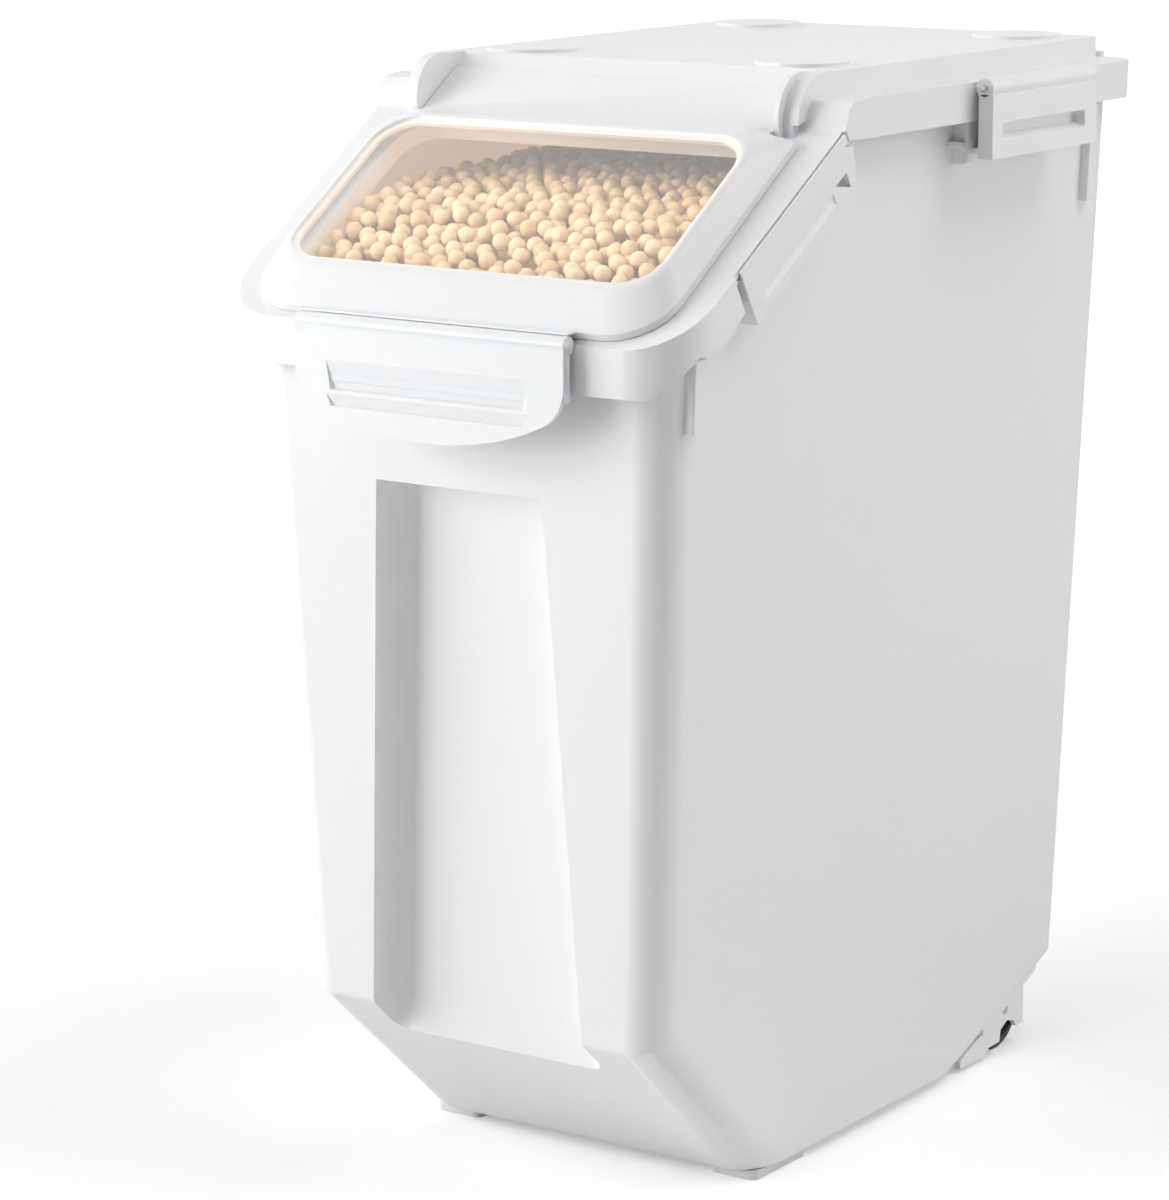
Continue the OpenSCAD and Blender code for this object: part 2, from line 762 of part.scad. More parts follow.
// Soft ring around the lid's rib, inside the frame's mouth
module lid_seal() color("lightgray") place() {
    inner_half = mouth_half - lid_rib_gap + 0.1;
    gap = lid_rib_gap - 0.1;
    ring_out = seat_gap;
    on_slope() translate([0, 0, web_bottom]) linear_extrude(web_t) difference() {
        rounded(mouth_half - ring_out, mouth_v0 + ring_out, mouth_v1 - ring_out, mouth_r - ring_out);
        rounded(inner_half, mouth_v0 + gap, mouth_v1 - gap, mouth_r - gap);
    }
}

module hinge_pin() {
    color("silver") place()
        x_rod(hinge_pin_r, tail_w / 2 - pin_in, ear_in + 6.3, axis_yz);
}
module hinge_pin_right() hinge_pin();
module hinge_pin_left() mirror([1, 0, 0]) hinge_pin();

module front_latch() color(frosted) place() {
    y = flap_axis[0];
    z = flap_axis[1];
    hook_top = collar_z - 0.4;
    hook_y = front_y(collar_z) - skirt_out + 1.4;
    difference() {
        union() {
            x_rod(flap_r, -flap_w / 2, flap_w / 2, flap_axis);
            intersection() {
                union() {
                    translate([-flap_w / 2, flap_front, flap_bottom]) cube([flap_w, flap_t, flap_h]);
                    both_sides() translate([flap_w / 2 - flap_t, flap_front, flap_bottom])
                        cube([flap_t, flap_side, flap_h - 1]);
                    translate([6 - flap_w / 2, flap_front, hook_top - 3])
                        cube([flap_w - 12, hook_y - flap_front, 3]);
                }
                translate([0, 0, flap_bottom + flap_edge_r]) rotate([90, 0, 0])
                    cylinder(r = flap_edge_r, h = 80, center = true, $fn = 96);
            }
        }
        for (sx = [-1, 1]) {
            half = flap_lug_w / 2 + 0.4;
            x_rod(flap_r + swing_gap, sx * flap_lug_x - half, sx * flap_lug_x + half, flap_axis);
        }
        // Finger groove across the face
        translate([-50, flap_front - 1, z - 26.4]) cube([100, 2, 5.9]);
        x_rod(flap_pin_r + pin_gap, -flap_pin_half - seat_gap, flap_pin_half + seat_gap, flap_axis);
    }
}

module front_latch_pin() color("silver") place() x_rod(flap_pin_r, -flap_pin_half, flap_pin_half, flap_axis);

module side_latch() {
    y0 = latch_y - latch_l / 2;
    outer = latch_x + latch_r;
    hook_top = catch_z - seat_gap;
    hook_in = half_w(catch_z) + catch_out - 3;
    color(white) place() difference() {
        union() {
            y_rod(latch_r, y0, y0 + latch_l, [latch_x, latch_z]);
            translate([outer - latch_t, y0, latch_z - latch_h]) cube([latch_t, latch_l, latch_h]);
            translate([hook_in, y0 + 7, hook_top - 2.8]) cube([outer - hook_in, latch_l - 14, 2.8]);
            for (y = [y0, y0 + latch_l - latch_t])
                translate([outer - 6, y, latch_z - latch_h]) cube([6, latch_t, latch_h]);
        }
        for (dy = [-latch_lug_y, latch_lug_y]) {
            y1 = latch_y + dy - latch_lug_w / 2 - 0.4;
            y_rod(latch_r + swing_gap, y1, y1 + latch_lug_w + 0.8, [latch_x, latch_z]);
        }
        translate([outer - latch_t - 1, latch_y - slot_l / 2 - 3, slot_z]) cube([latch_t + 2, slot_l, slot_h]);
        y_rod(latch_pin_r + pin_gap, y0 + 3 - seat_gap, y0 + latch_l - 3 + seat_gap, [latch_x, latch_z]);
    }
}
module side_latch_right() side_latch();
module side_latch_left() mirror([1, 0, 0]) side_latch();

module side_latch_pin() {
    y0 = latch_y - latch_l / 2;
    color("silver") place() y_rod(latch_pin_r, y0 + 3, y0 + latch_l - 3, [latch_x, latch_z]);
}
module side_latch_pin_right() side_latch_pin();
module side_latch_pin_left() mirror([1, 0, 0]) side_latch_pin();

// Housing that snaps into the body's wheel well: two cheeks and a roof
module wheel_bracket() {
    front = well_front + 0.4;
    rear = well_rear - 0.4;
    roof = well_top - seat_gap;
    low = 2 - foot_h;
    nose = well_front - 19;
    tip = body_d - 22;
    cheek = [
        [nose, low], [wheel_y - 19, low], [wheel_y - 15, low + 3.2], [wheel_y - 5, low + 3.6],
        [wheel_y - 4, low + 9], [wheel_y + 2, low + 12], [wheel_y + 8, low + 10.5], [wheel_y + 11, low + 7],
        [tip, low + 7],
        [tip, underside_z(tip) - seat_gap], [rear, underside_z(tip) - seat_gap], [rear, roof],
        [front, roof], [front, underside_z(front) - seat_gap], [nose, underside_z(nose) - seat_gap]
    ];
    color(white) place() difference() {
        union() {
            for (x = [wheel_x - bracket_half, wheel_x + bracket_half - cheek_t])
                x_slice(cheek, x, x + cheek_t);
            translate([wheel_x - bracket_half, front, roof - cheek_t])
                cube([2 * bracket_half, rear - front, cheek_t]);
        }
        x_rod(axle_r + 0.02, wheel_x - bracket_half - 1, wheel_x + bracket_half + 1, [wheel_y, wheel_z]);
    }
}
module wheel_bracket_right() wheel_bracket();
module wheel_bracket_left() mirror([1, 0, 0]) wheel_bracket();

module wheel() {
    half = wheel_w / 2;
    bore = axle_r + pin_gap;
    color("dimgray") place() translate([wheel_x, wheel_y, wheel_z]) rotate([0, 90, 0]) rotate_extrude() polygon([
        [bore, -half - 0.8], [bore + 3, -half - 0.8], [bore + 3, 2 - half], [wheel_r - 5, 2 - half],
        [wheel_r - 4, -half], [wheel_r - 1.5, -half], [wheel_r, 1.5 - half],
        [wheel_r, half - 1.5], [wheel_r - 1.5, half], [wheel_r - 4, half],
        [wheel_r - 5, half - 2], [bore + 3, half - 2], [bore + 3, half + 0.8], [bore, half + 0.8]
    ]);
}
module wheel_right() wheel();
module wheel_left() mirror([1, 0, 0]) wheel();

module wheel_axle() {
    color("silver") place()
        x_rod(axle_r, wheel_x - bracket_half + 0.2, wheel_x + bracket_half - 0.2, [wheel_y, wheel_z]);
}
module wheel_axle_right() wheel_axle();
module wheel_axle_left() mirror([1, 0, 0]) wheel_axle();

module foot() {
    color(white) place() translate([foot_x, foot_y - foot_l / 2, -foot_h]) linear_extrude(foot_h)
        rounded(foot_w / 2, 0, foot_l, 4);
}
module foot_right() foot();
module foot_left() mirror([1, 0, 0]) foot();

bin_body();
lid_frame();
frame_seal();
flip_lid();
lid_window();
lid_seal();
hinge_pin_left();
hinge_pin_right();
front_latch();
front_latch_pin();
side_latch_left();
side_latch_right();
side_latch_pin_left();
side_latch_pin_right();
wheel_bracket_left();
wheel_bracket_right();
wheel_left();
wheel_right();
wheel_axle_left();
wheel_axle_right();
foot_left();
foot_right();
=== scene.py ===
import math
import random

import bmesh
import bpy
from mathutils import Euler, Matrix, Vector


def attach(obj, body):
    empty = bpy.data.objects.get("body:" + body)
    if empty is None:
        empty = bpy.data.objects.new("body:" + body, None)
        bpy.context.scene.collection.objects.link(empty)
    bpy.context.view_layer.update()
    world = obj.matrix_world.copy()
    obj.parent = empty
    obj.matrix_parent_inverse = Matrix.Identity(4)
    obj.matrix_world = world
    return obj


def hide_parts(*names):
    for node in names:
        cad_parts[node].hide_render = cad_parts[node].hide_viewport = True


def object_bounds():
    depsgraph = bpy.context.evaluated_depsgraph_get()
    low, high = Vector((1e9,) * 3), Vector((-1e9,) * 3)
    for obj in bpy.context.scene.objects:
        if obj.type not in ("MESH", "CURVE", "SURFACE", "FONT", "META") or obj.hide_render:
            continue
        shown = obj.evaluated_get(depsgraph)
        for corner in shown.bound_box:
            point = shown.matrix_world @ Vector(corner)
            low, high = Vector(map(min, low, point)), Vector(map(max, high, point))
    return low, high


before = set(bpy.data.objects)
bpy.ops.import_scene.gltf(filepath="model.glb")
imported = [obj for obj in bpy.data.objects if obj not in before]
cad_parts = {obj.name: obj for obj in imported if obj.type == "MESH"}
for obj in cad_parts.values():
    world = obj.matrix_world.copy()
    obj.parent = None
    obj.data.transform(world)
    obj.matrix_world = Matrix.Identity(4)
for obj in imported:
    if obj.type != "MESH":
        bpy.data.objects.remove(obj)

MM = 0.001
TINY = 0.00002
cad_low, cad_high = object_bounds()

# ---------------------------------------------------------------- main sizes, lengths in millimetres
# The frame's origin lies MID_Y behind the tub's front face and FOOT below its underside.
MID_Y = 180.876
FOOT = 4.0
SLOPE = math.radians(33)
SIN, COS = math.sin(SLOPE), math.cos(SLOPE)
SLOPE_Y, SLOPE_Z = -9, 368.2
GAUGE_H = 400
HALF_LOW, HALF_SPREAD = 86.65, 18.35
FRONT_LEAN = 17


def at(x, y, z):
    """A point given in millimetres from the body's front face and underside."""
    return Vector((x, y - MID_Y, z + FOOT)) * MM


def sp(v, w):
    """Depth and height of a point v up the lid's slope and w above it."""
    return SLOPE_Y + v * COS - w * SIN, SLOPE_Z + v * SIN + w * COS


def slope_point(v, w, x=0):
    """That point in the frame, x to the right of the middle."""
    return at(x, *sp(v, w))


def half_w(z):
    """Half the tub's width at a height."""
    return HALF_LOW + HALF_SPREAD * z / GAUGE_H


def front_y(z):
    """Depth of the tub's leaning front at a height."""
    return FRONT_LEAN * (1 - z / GAUGE_H)


def side_point(out):
    """A point of the plane that lies that far outside the tub's right side."""
    return at(half_w(GAUGE_H) + out, 0, GAUGE_H)


SIDE_LEAN = HALF_SPREAD / GAUGE_H
SIDE_OUT = Vector((1, 0, -SIDE_LEAN)).normalized()
UP_SLOPE = Vector((0, -SIN, COS))
ALONG_SLOPE = Vector((0, COS, SIN))
WALL = 2.5
# The tub's rim lies RIM_DROP off the lid's slope, its flanges stand SKIRT_OUT outside its sides,
# and what is set on a side wall reaches SINK into it.
RIM_DROP = -8.1
BODY_RIM = 447.9
SKIRT_OUT = 10.3
SINK = 1.2


# ---------------------------------------------------------------- modelling helpers
def only(piece):
    """Selects the piece alone and makes it the active one."""
    bpy.ops.object.select_all(action="DESELECT")
    piece.select_set(True)
    bpy.context.view_layer.objects.active = piece


def edit(piece):
    only(piece)
    bpy.ops.object.mode_set(mode="EDIT")


def leave_edit():
    bpy.ops.object.mode_set(mode="OBJECT")


def settle(piece):
    """Puts the piece's place, turn and scale into its mesh."""
    only(piece)
    bpy.ops.object.transform_apply(location=True, rotation=True, scale=True)


def apply_modifier(piece, kind, **settings):
    only(piece)
    modifier = piece.modifiers.new(kind.lower(), kind)
    for name, value in settings.items():
        setattr(modifier, name, value)
    bpy.ops.object.modifier_apply(modifier=modifier.name)


def join(name, *parts):
    bpy.ops.object.select_all(action="DESELECT")
    for part in parts:
        part.select_set(True)
    bpy.context.view_layer.objects.active = parts[0]
    bpy.ops.object.join()
    parts[0].name = name
    return parts[0]


def pick(piece, kind, test):
    """Selects, in edit mode, the vertices, edges or faces that pass the test."""
    bpy.ops.mesh.select_mode(type={"verts": "VERT", "edges": "EDGE", "faces": "FACE"}[kind])
    bpy.ops.mesh.select_all(action="DESELECT")
    mesh = bmesh.from_edit_mesh(piece.data)
    chosen = [item for item in getattr(mesh, kind) if test(item)]
    for item in chosen:
        item.select_set(True)
    mesh.select_flush_mode()
    bmesh.update_edit_mesh(piece.data)
    return len(chosen)


def middle(item):
    """The middle of an edge's or a face's corners."""
    return sum((v.co for v in item.verts), Vector()) / len(item.verts)


def corner_angle(edge):
    """The angle in degrees by which the surface turns at an edge."""
    return math.degrees(edge.calc_face_angle(0)) if len(edge.link_faces) == 2 else 0


def is_level(edge):
    return abs(edge.verts[0].co.z - edge.verts[1].co.z) < TINY


def block(name, low, high):
    """A box between two corners, as a start."""
    bpy.ops.object.select_all(action="DESELECT")
    low, high = Vector(low), Vector(high)
    bpy.ops.mesh.primitive_cube_add(size=1, location=(low + high) / 2)
    piece = bpy.context.object
    piece.name = name
    piece.scale = high - low
    settle(piece)
    return piece


def cut(piece, point, normal):
    """Takes off everything on the normal's side of a plane and closes the cut."""
    edit(piece)
    bpy.ops.mesh.select_all(action="SELECT")
    bpy.ops.mesh.bisect(
        plane_co=point, plane_no=Vector(normal).normalized(), use_fill=True, clear_outer=True
    )
    leave_edit()


def round_edges(piece, radius, segments, test):
    """Rounds the edges that pass the test, with the radius in millimetres."""
    edit(piece)
    if pick(piece, "edges", test):
        bpy.ops.mesh.bevel(
            offset_type="OFFSET", offset=radius * MM, segments=segments, affect="EDGES", clamp_overlap=True
        )
    leave_edit()


def soften(piece, width, segments=2, angle=0.45):
    """Rounds all edges sharper than the angle, which is in radians, with the width in millimetres."""
    apply_modifier(
        piece, "BEVEL", width=width * MM, segments=segments, limit_method="ANGLE", angle_limit=angle
    )


def move_where(piece, kind, test, offset):
    edit(piece)
    pick(piece, kind, test)
    bpy.ops.transform.translate(value=offset)
    leave_edit()


def widen_where(piece, kind, test, factor):
    edit(piece)
    pick(piece, kind, test)
    bpy.ops.transform.resize(value=factor)
    leave_edit()


def carve(piece, tool):
    """Cuts the tool out of the piece and throws the tool away."""
    apply_modifier(piece, "BOOLEAN", object=tool, operation="DIFFERENCE", solver="EXACT")
    bpy.data.objects.remove(tool)


def open_and_thicken(piece, wall, test):
    """Opens the faces that pass the test and gives the shell its wall in millimetres, inwards."""
    edit(piece)
    pick(piece, "faces", test)
    bpy.ops.mesh.delete(type="FACE")
    leave_edit()
    apply_modifier(piece, "SOLIDIFY", thickness=wall * MM, offset=-1, use_even_offset=True)


def mirrored(piece, name):
    """The same piece on the other side of the middle plane."""
    twin = bpy.data.objects.new(name, piece.data.copy())
    bpy.context.scene.collection.objects.link(twin)
    edit(twin)
    bpy.ops.mesh.select_all(action="SELECT")
    bpy.ops.transform.mirror(
        constraint_axis=(True, False, False), orient_type="GLOBAL", center_override=(0, 0, 0)
    )
    bpy.ops.mesh.flip_normals()
    leave_edit()
    return twin


def smooth(piece, angle=30, weighted=True):
    """Shades the piece smooth, apart from the edges sharper than the angle in degrees."""
    only(piece)
    bpy.ops.object.shade_smooth_by_angle(angle=math.radians(angle))
    if weighted:
        apply_modifier(piece, "WEIGHTED_NORMAL", keep_sharp=True, weight=90)
    return piece


FACET_DEGREES, SHARP_DEGREES = 0.6, 32


def refined(node, name, bevel, segments=2, first=None):
    """A copy of a solid with its facets joined, its edges softened, and what first does done before."""
    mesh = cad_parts[node].data.copy()
    piece = bpy.data.objects.new(name, mesh)
    bpy.context.scene.collection.objects.link(piece)
    edit(piece)
    bpy.ops.mesh.select_all(action="SELECT")
    bpy.ops.mesh.remove_doubles(threshold=TINY)
    bpy.ops.mesh.dissolve_limited(angle_limit=math.radians(FACET_DEGREES))
    leave_edit()
    bpy.ops.mesh.customdata_custom_splitnormals_clear()
    if first:
        first(piece)
    if bevel:
        soften(piece, bevel, segments, math.radians(SHARP_DEGREES))
    return smooth(piece, SHARP_DEGREES, bevel > 0)


def finish_piece(piece, body, slot, material, *nodes):
    """Gives the piece its material and the body that it rides on, and hides the solids it replaces; the
    slot argument is not used.
    """
    piece.data.materials.clear()
    piece.data.materials.append(material)
    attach(piece, body)
    if nodes:
        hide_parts(*nodes)
    return piece


# ---------------------------------------------------------------- shared material effects
def new_group(name, inputs, outputs):
    group = bpy.data.node_groups.new(name, "ShaderNodeTree")
    for socket_name, kind, value in inputs:
        socket = group.interface.new_socket(socket_name, in_out="INPUT", socket_type=kind)
        socket.default_value = value
    for socket_name, kind in outputs:
        group.interface.new_socket(socket_name, in_out="OUTPUT", socket_type=kind)
    enter = group.nodes.new("NodeGroupInput")
    leave = group.nodes.new("NodeGroupOutput")
    return group, enter, leave


def moulded_skin_group():
    """Fine grain, slow waves and a faint change of tone, as moulded plastic has."""
    group, enter, leave = new_group(
        "moulded_skin",
        [
            ("Colour", "NodeSocketColor", (0.9, 0.9, 0.9, 1)),
            ("Shade", "NodeSocketColor", (0.86, 0.86, 0.86, 1)),
            ("Grain Size", "NodeSocketFloat", 900.0),
            ("Grain Share", "NodeSocketFloat", 0.6),
            ("Gloss Low", "NodeSocketFloat", 0.3),
            ("Gloss High", "NodeSocketFloat", 0.42),
        ],
        [
            ("Colour", "NodeSocketColor"),
            ("Roughness", "NodeSocketFloat"),
            ("Height", "NodeSocketFloat"),
        ],
    )
    nodes, links = group.nodes, group.links
    place = nodes.new("ShaderNodeTexCoord")
    grain = nodes.new("ShaderNodeTexNoise")
    grain.inputs["Detail"].default_value = 3
    links.new(place.outputs["Object"], grain.inputs["Vector"])
    links.new(enter.outputs["Grain Size"], grain.inputs["Scale"])
    wave = nodes.new("ShaderNodeTexNoise")
    wave.inputs["Scale"].default_value = 9
    wave.inputs["Detail"].default_value = 2
    links.new(place.outputs["Object"], wave.inputs["Vector"])
    tone = nodes.new("ShaderNodeMix")
    tone.data_type = "RGBA"
    links.new(wave.outputs["Fac"], tone.inputs["Factor"])
    links.new(enter.outputs["Colour"], tone.inputs["A"])
    links.new(enter.outputs["Shade"], tone.inputs["B"])
    gloss = nodes.new("ShaderNodeMapRange")
    links.new(grain.outputs["Fac"], gloss.inputs["Value"])
    links.new(enter.outputs["Gloss Low"], gloss.inputs["To Min"])
    links.new(enter.outputs["Gloss High"], gloss.inputs["To Max"])
    height = nodes.new("ShaderNodeMix")
    links.new(enter.outputs["Grain Share"], height.inputs["Factor"])
    links.new(wave.outputs["Fac"], height.inputs["A"])
    links.new(grain.outputs["Fac"], height.inputs["B"])
    links.new(tone.outputs["Result"], leave.inputs["Colour"])
    links.new(gloss.outputs["Result"], leave.inputs["Roughness"])
    links.new(height.outputs["Result"], leave.inputs["Height"])
    return group


MOULDED_SKIN = moulded_skin_group()


def new_material(name, **constants):
    material = bpy.data.materials.new(name)
    material.use_nodes = True
    shader = material.node_tree.nodes["Principled BSDF"]
    for socket_name, value in constants.items():
        shader.inputs[socket_name.replace("_", " ")].default_value = value
    return material, material.node_tree, shader


def skin_material(name, colour, shade, grain, share, gloss, bump, **constants):
    """A moulded plastic or metal skin, with the height of its relief in millimetres."""
    material, tree, shader = new_material(name, **constants)
    skin = tree.nodes.new("ShaderNodeGroup")
    skin.node_tree = MOULDED_SKIN
    skin.inputs["Colour"].default_value = (*colour, 1)
    skin.inputs["Shade"].default_value = (*shade, 1)
    skin.inputs["Grain Size"].default_value = grain
    skin.inputs["Grain Share"].default_value = share
    skin.inputs["Gloss Low"].default_value = gloss[0]
    skin.inputs["Gloss High"].default_value = gloss[1]
    relief = tree.nodes.new("ShaderNodeBump")
    relief.inputs["Distance"].default_value = bump * MM
    relief.inputs["Strength"].default_value = 1
    tree.links.new(skin.outputs["Colour"], shader.inputs["Base Color"])
    tree.links.new(skin.outputs["Roughness"], shader.inputs["Roughness"])
    tree.links.new(skin.outputs["Height"], relief.inputs["Height"])
    tree.links.new(relief.outputs["Normal"], shader.inputs["Normal"])
    return material


def clear_pane_material():
    """Clear, slightly hazy plastic that lets the light through without a dark shadow."""
    material, tree, shader = new_material(
        "clear_pane", Transmission_Weight=1.0, IOR=1.49, Base_Color=(0.97, 0.98, 0.98, 1)
    )
    place = tree.nodes.new("ShaderNodeTexCoord")
    haze = tree.nodes.new("ShaderNodeTexNoise")
    haze.inputs["Scale"].default_value = 30
    tree.links.new(place.outputs["Object"], haze.inputs["Vector"])
    gloss = tree.nodes.new("ShaderNodeMapRange")
    gloss.inputs["To Min"].default_value = 0.015
    gloss.inputs["To Max"].default_value = 0.04
    tree.links.new(haze.outputs["Fac"], gloss.inputs["Value"])
    tree.links.new(gloss.outputs["Result"], shader.inputs["Roughness"])
    shadow = tree.nodes.new("ShaderNodeLightPath")
    open_way = tree.nodes.new("ShaderNodeBsdfTransparent")
    either = tree.nodes.new("ShaderNodeMixShader")
    out = tree.nodes["Material Output"]
    tree.links.new(shadow.outputs["Is Shadow Ray"], either.inputs["Fac"])
    tree.links.new(shader.outputs["BSDF"], either.inputs[1])
    tree.links.new(open_way.outputs["BSDF"], either.inputs[2])
    tree.links.new(either.outputs["Shader"], out.inputs["Surface"])
    return material


def bean_material():
    """Dry beans from brown to cream, each with a tone of its own and a fine mottle."""
    material, tree, shader = new_material("dry_bean", Specular_IOR_Level=0.35)
    tone = tree.nodes.new("ShaderNodeAttribute")
    tone.attribute_name = "tone"
    ramp = tree.nodes.new("ShaderNodeValToRGB")
    stops = ramp.color_ramp.elements
    stops[0].color = (0.58, 0.345, 0.14, 1)
    stops[1].color = (0.76, 0.55, 0.315, 1)
    between = stops.new(0.45)
    between.color = (0.685, 0.46, 0.235, 1)
    place = tree.nodes.new("ShaderNodeTexCoord")
    mottle = tree.nodes.new("ShaderNodeTexNoise")
    mottle.inputs["Scale"].default_value = 420
    mix = tree.nodes.new("ShaderNodeMath")
    mix.operation = "MULTIPLY_ADD"
    mix.inputs[1].default_value = 0.35
    tree.links.new(place.outputs["Object"], mottle.inputs["Vector"])
    tree.links.new(mottle.outputs["Fac"], mix.inputs[0])
    tree.links.new(tone.outputs["Fac"], mix.inputs[2])
    tree.links.new(mix.outputs["Value"], ramp.inputs["Fac"])
    tree.links.new(ramp.outputs["Color"], shader.inputs["Base Color"])
    gloss = tree.nodes.new("ShaderNodeMapRange")
    gloss.inputs["To Min"].default_value = 0.35
    gloss.inputs["To Max"].default_value = 0.6
    tree.links.new(mottle.outputs["Fac"], gloss.inputs["Value"])
    tree.links.new(gloss.outputs["Result"], shader.inputs["Roughness"])
    return material


WHITE, WHITE_SHADE = (0.885, 0.882, 0.897), (0.87, 0.868, 0.885)
BODY_WHITE = skin_material("body_white_satin", WHITE, WHITE_SHADE, 1400, 0.5, (0.26, 0.36), 0.05)
FRAME_WHITE = skin_material("frame_white_satin", WHITE, WHITE_SHADE, 1400, 0.5, (0.3, 0.42), 0.05)
FROSTED = skin_material(
    "frosted_plastic", (0.88, 0.882, 0.892), (0.86, 0.862, 0.875), 1900, 0.8, (0.28, 0.4), 0.08,
    Subsurface_Weight=0.15, Subsurface_Scale=0.004,
)


# Where the painted glow on the inner walls is strongest and where it has faded, in metres across the tub.
PAINTED_GLOW_LEFT, PAINTED_GLOW_RIGHT = -0.085, 0.03


def painted_inside_light_material():
    """Painted light for the walls below the pane and the tub's inner walls: a darker warm colour paints
    their shade and the warm light the beans throw on them, and an emission paints a glow of light through
    the walls, strongest at the left.
    """
    material = skin_material(
        "frosted_plastic_inside_painted_light", (0.56, 0.49, 0.455), (0.54, 0.47, 0.435), 1900, 0.8, (0.4, 0.5), 0.08,
        Emission_Strength=1.0,
    )
    tree = material.node_tree
    shader = next(node for node in tree.nodes if node.type == "BSDF_PRINCIPLED")
    place = tree.nodes.new("ShaderNodeTexCoord")
    parts = tree.nodes.new("ShaderNodeSeparateXYZ")
    across = tree.nodes.new("ShaderNodeMapRange")
    across.inputs["From Min"].default_value = PAINTED_GLOW_LEFT
    across.inputs["From Max"].default_value = PAINTED_GLOW_RIGHT
    painted_glow = tree.nodes.new("ShaderNodeMix")
    painted_glow.data_type = "RGBA"
    # Painted glow: bright and warm at the left, nearly dark at the right.
    painted_glow.inputs["A"].default_value = (0.3, 0.22, 0.15, 1)
    painted_glow.inputs["B"].default_value = (0.04, 0.03, 0.02, 1)
    tree.links.new(place.outputs["Object"], parts.inputs["Vector"])
    tree.links.new(parts.outputs["X"], across.inputs["Value"])
    tree.links.new(across.outputs["Result"], painted_glow.inputs["Factor"])
    tree.links.new(painted_glow.outputs["Result"], shader.inputs["Emission Color"])
    return material


PAINTED_INSIDE_LIGHT = painted_inside_light_material()
SEAL = skin_material(
    "soft_seal", (0.62, 0.62, 0.60), (0.58, 0.58, 0.56), 1200, 0.6, (0.6, 0.75), 0.06
)
STEEL = skin_material(
    "steel_pin", (0.62, 0.62, 0.63), (0.5, 0.5, 0.52), 2500, 0.9, (0.22, 0.4), 0.03, Metallic=1.0
)
WHEEL_BLACK = skin_material(
    "wheel_black", (0.022, 0.022, 0.024), (0.03, 0.03, 0.03), 1500, 0.7, (0.42, 0.6), 0.12
)
FOOT_WHITE = skin_material(
    "foot_soft_white", (0.78, 0.78, 0.78), (0.72, 0.72, 0.72), 1300, 0.6, (0.5, 0.65), 0.08
)
PANE = clear_pane_material()
BEAN = bean_material()


# ---------------------------------------------------------------- beans under the window
BEAN_D = 7.7 * MM
BEAN_LIE = 0.3 * BEAN_D
HEAP_TOP_Y = (170 - MID_Y) * MM
HEAP_TOP_Z = (416 + FOOT) * MM
HEAP_CURVE = 1250 * MM
HEAP_FRONT = (19 - MID_Y) * MM
HEAP_FRONT_Z = (383 + FOOT) * MM
HEAP_REAR = (347 - MID_Y) * MM
HEAP_EDGE = (8.5 - MID_Y) * MM
HEAP_SIDE = 94 * MM
SIDE_DROP = 83 * MM
HEAP_RISE, EDGE_RISE, SIDE_FALL = 0.62, 2.0, 1.8
RIPPLE = 0.0012
FILL_INSET, FILL_UNDER, FILL_DEPTH = 0.7 * BEAN_D, 1.35 * BEAN_D, 0.03
BEANS_DEEP = 0.215
# Each layer: its depth in bean widths, its spacing and a tone shift; the lower layer's negative shift is
# painted shade between the top beans.
BEAN_LAYERS = ((0.0, 0.84, 0.0), (0.55, 0.8, -0.1))
BEAN_TRIES = 30000
FULL_TURN = 6.28


def heap_height(x, y):
    """Height of the heap's surface: a low mound that falls to the front, and lies lower under the rib."""
    mound = HEAP_TOP_Z - (y - HEAP_TOP_Y) ** 2 / HEAP_CURVE
    front = HEAP_FRONT_Z + (y - HEAP_FRONT) * (HEAP_RISE if y > HEAP_FRONT else EDGE_RISE)
    drop = max(0, abs(x) - SIDE_DROP) * SIDE_FALL
    ripple = RIPPLE * math.sin(61 * x + 1.3) * math.sin(47 * y)
    return min(mound, front) - drop + ripple


def bean_heap():
    """The closed fill under the loose beans."""
    bpy.ops.object.select_all(action="DESELECT")
    bpy.ops.mesh.primitive_grid_add(x_subdivisions=36, y_subdivisions=64, size=1)
    heap = bpy.context.object
    heap.name = "bean_heap"
    heap.scale = (2 * (HEAP_SIDE - FILL_INSET), HEAP_REAR - HEAP_EDGE - FILL_INSET, 1)
    heap.location = (0, (HEAP_REAR + HEAP_EDGE + FILL_INSET) / 2, 0)
    settle(heap)
    for vertex in heap.data.vertices:
        vertex.co.z = heap_height(vertex.co.x, vertex.co.y) - FILL_UNDER
    edit(heap)
    bpy.ops.mesh.select_all(action="SELECT")
    bpy.ops.mesh.extrude_region_move(TRANSFORM_OT_translate={"value": (0, 0, -FILL_DEPTH)})
    bpy.ops.mesh.select_all(action="SELECT")
    bpy.ops.mesh.normals_make_consistent(inside=False)
    leave_edit()
    bpy.ops.object.shade_smooth_by_angle(angle=math.radians(40))
    return heap


DENT_FROM, DENT_HALF, DENT_DEPTH = 0.2, 0.2, 0.02


def one_bean():
    """A bean of diameter 1, a little longer than thick, with a slight dent on one side."""
    bpy.ops.object.select_all(action="DESELECT")
    bpy.ops.mesh.primitive_uv_sphere_add(segments=10, ring_count=6, radius=0.5)
    bean = bpy.context.object
    bean.scale = (1.03, 0.97, 0.94)
    settle(bean)
    edit(bean)
    bpy.ops.mesh.select_all(action="DESELECT")
    mesh = bmesh.from_edit_mesh(bean.data)
    for vertex in mesh.verts:
        vertex.select = vertex.co.x > DENT_FROM and abs(vertex.co.z) < DENT_HALF
    bmesh.update_edit_mesh(bean.data)
    bpy.ops.transform.translate(value=(-DENT_DEPTH, 0, 0))
    leave_edit()
    return bean


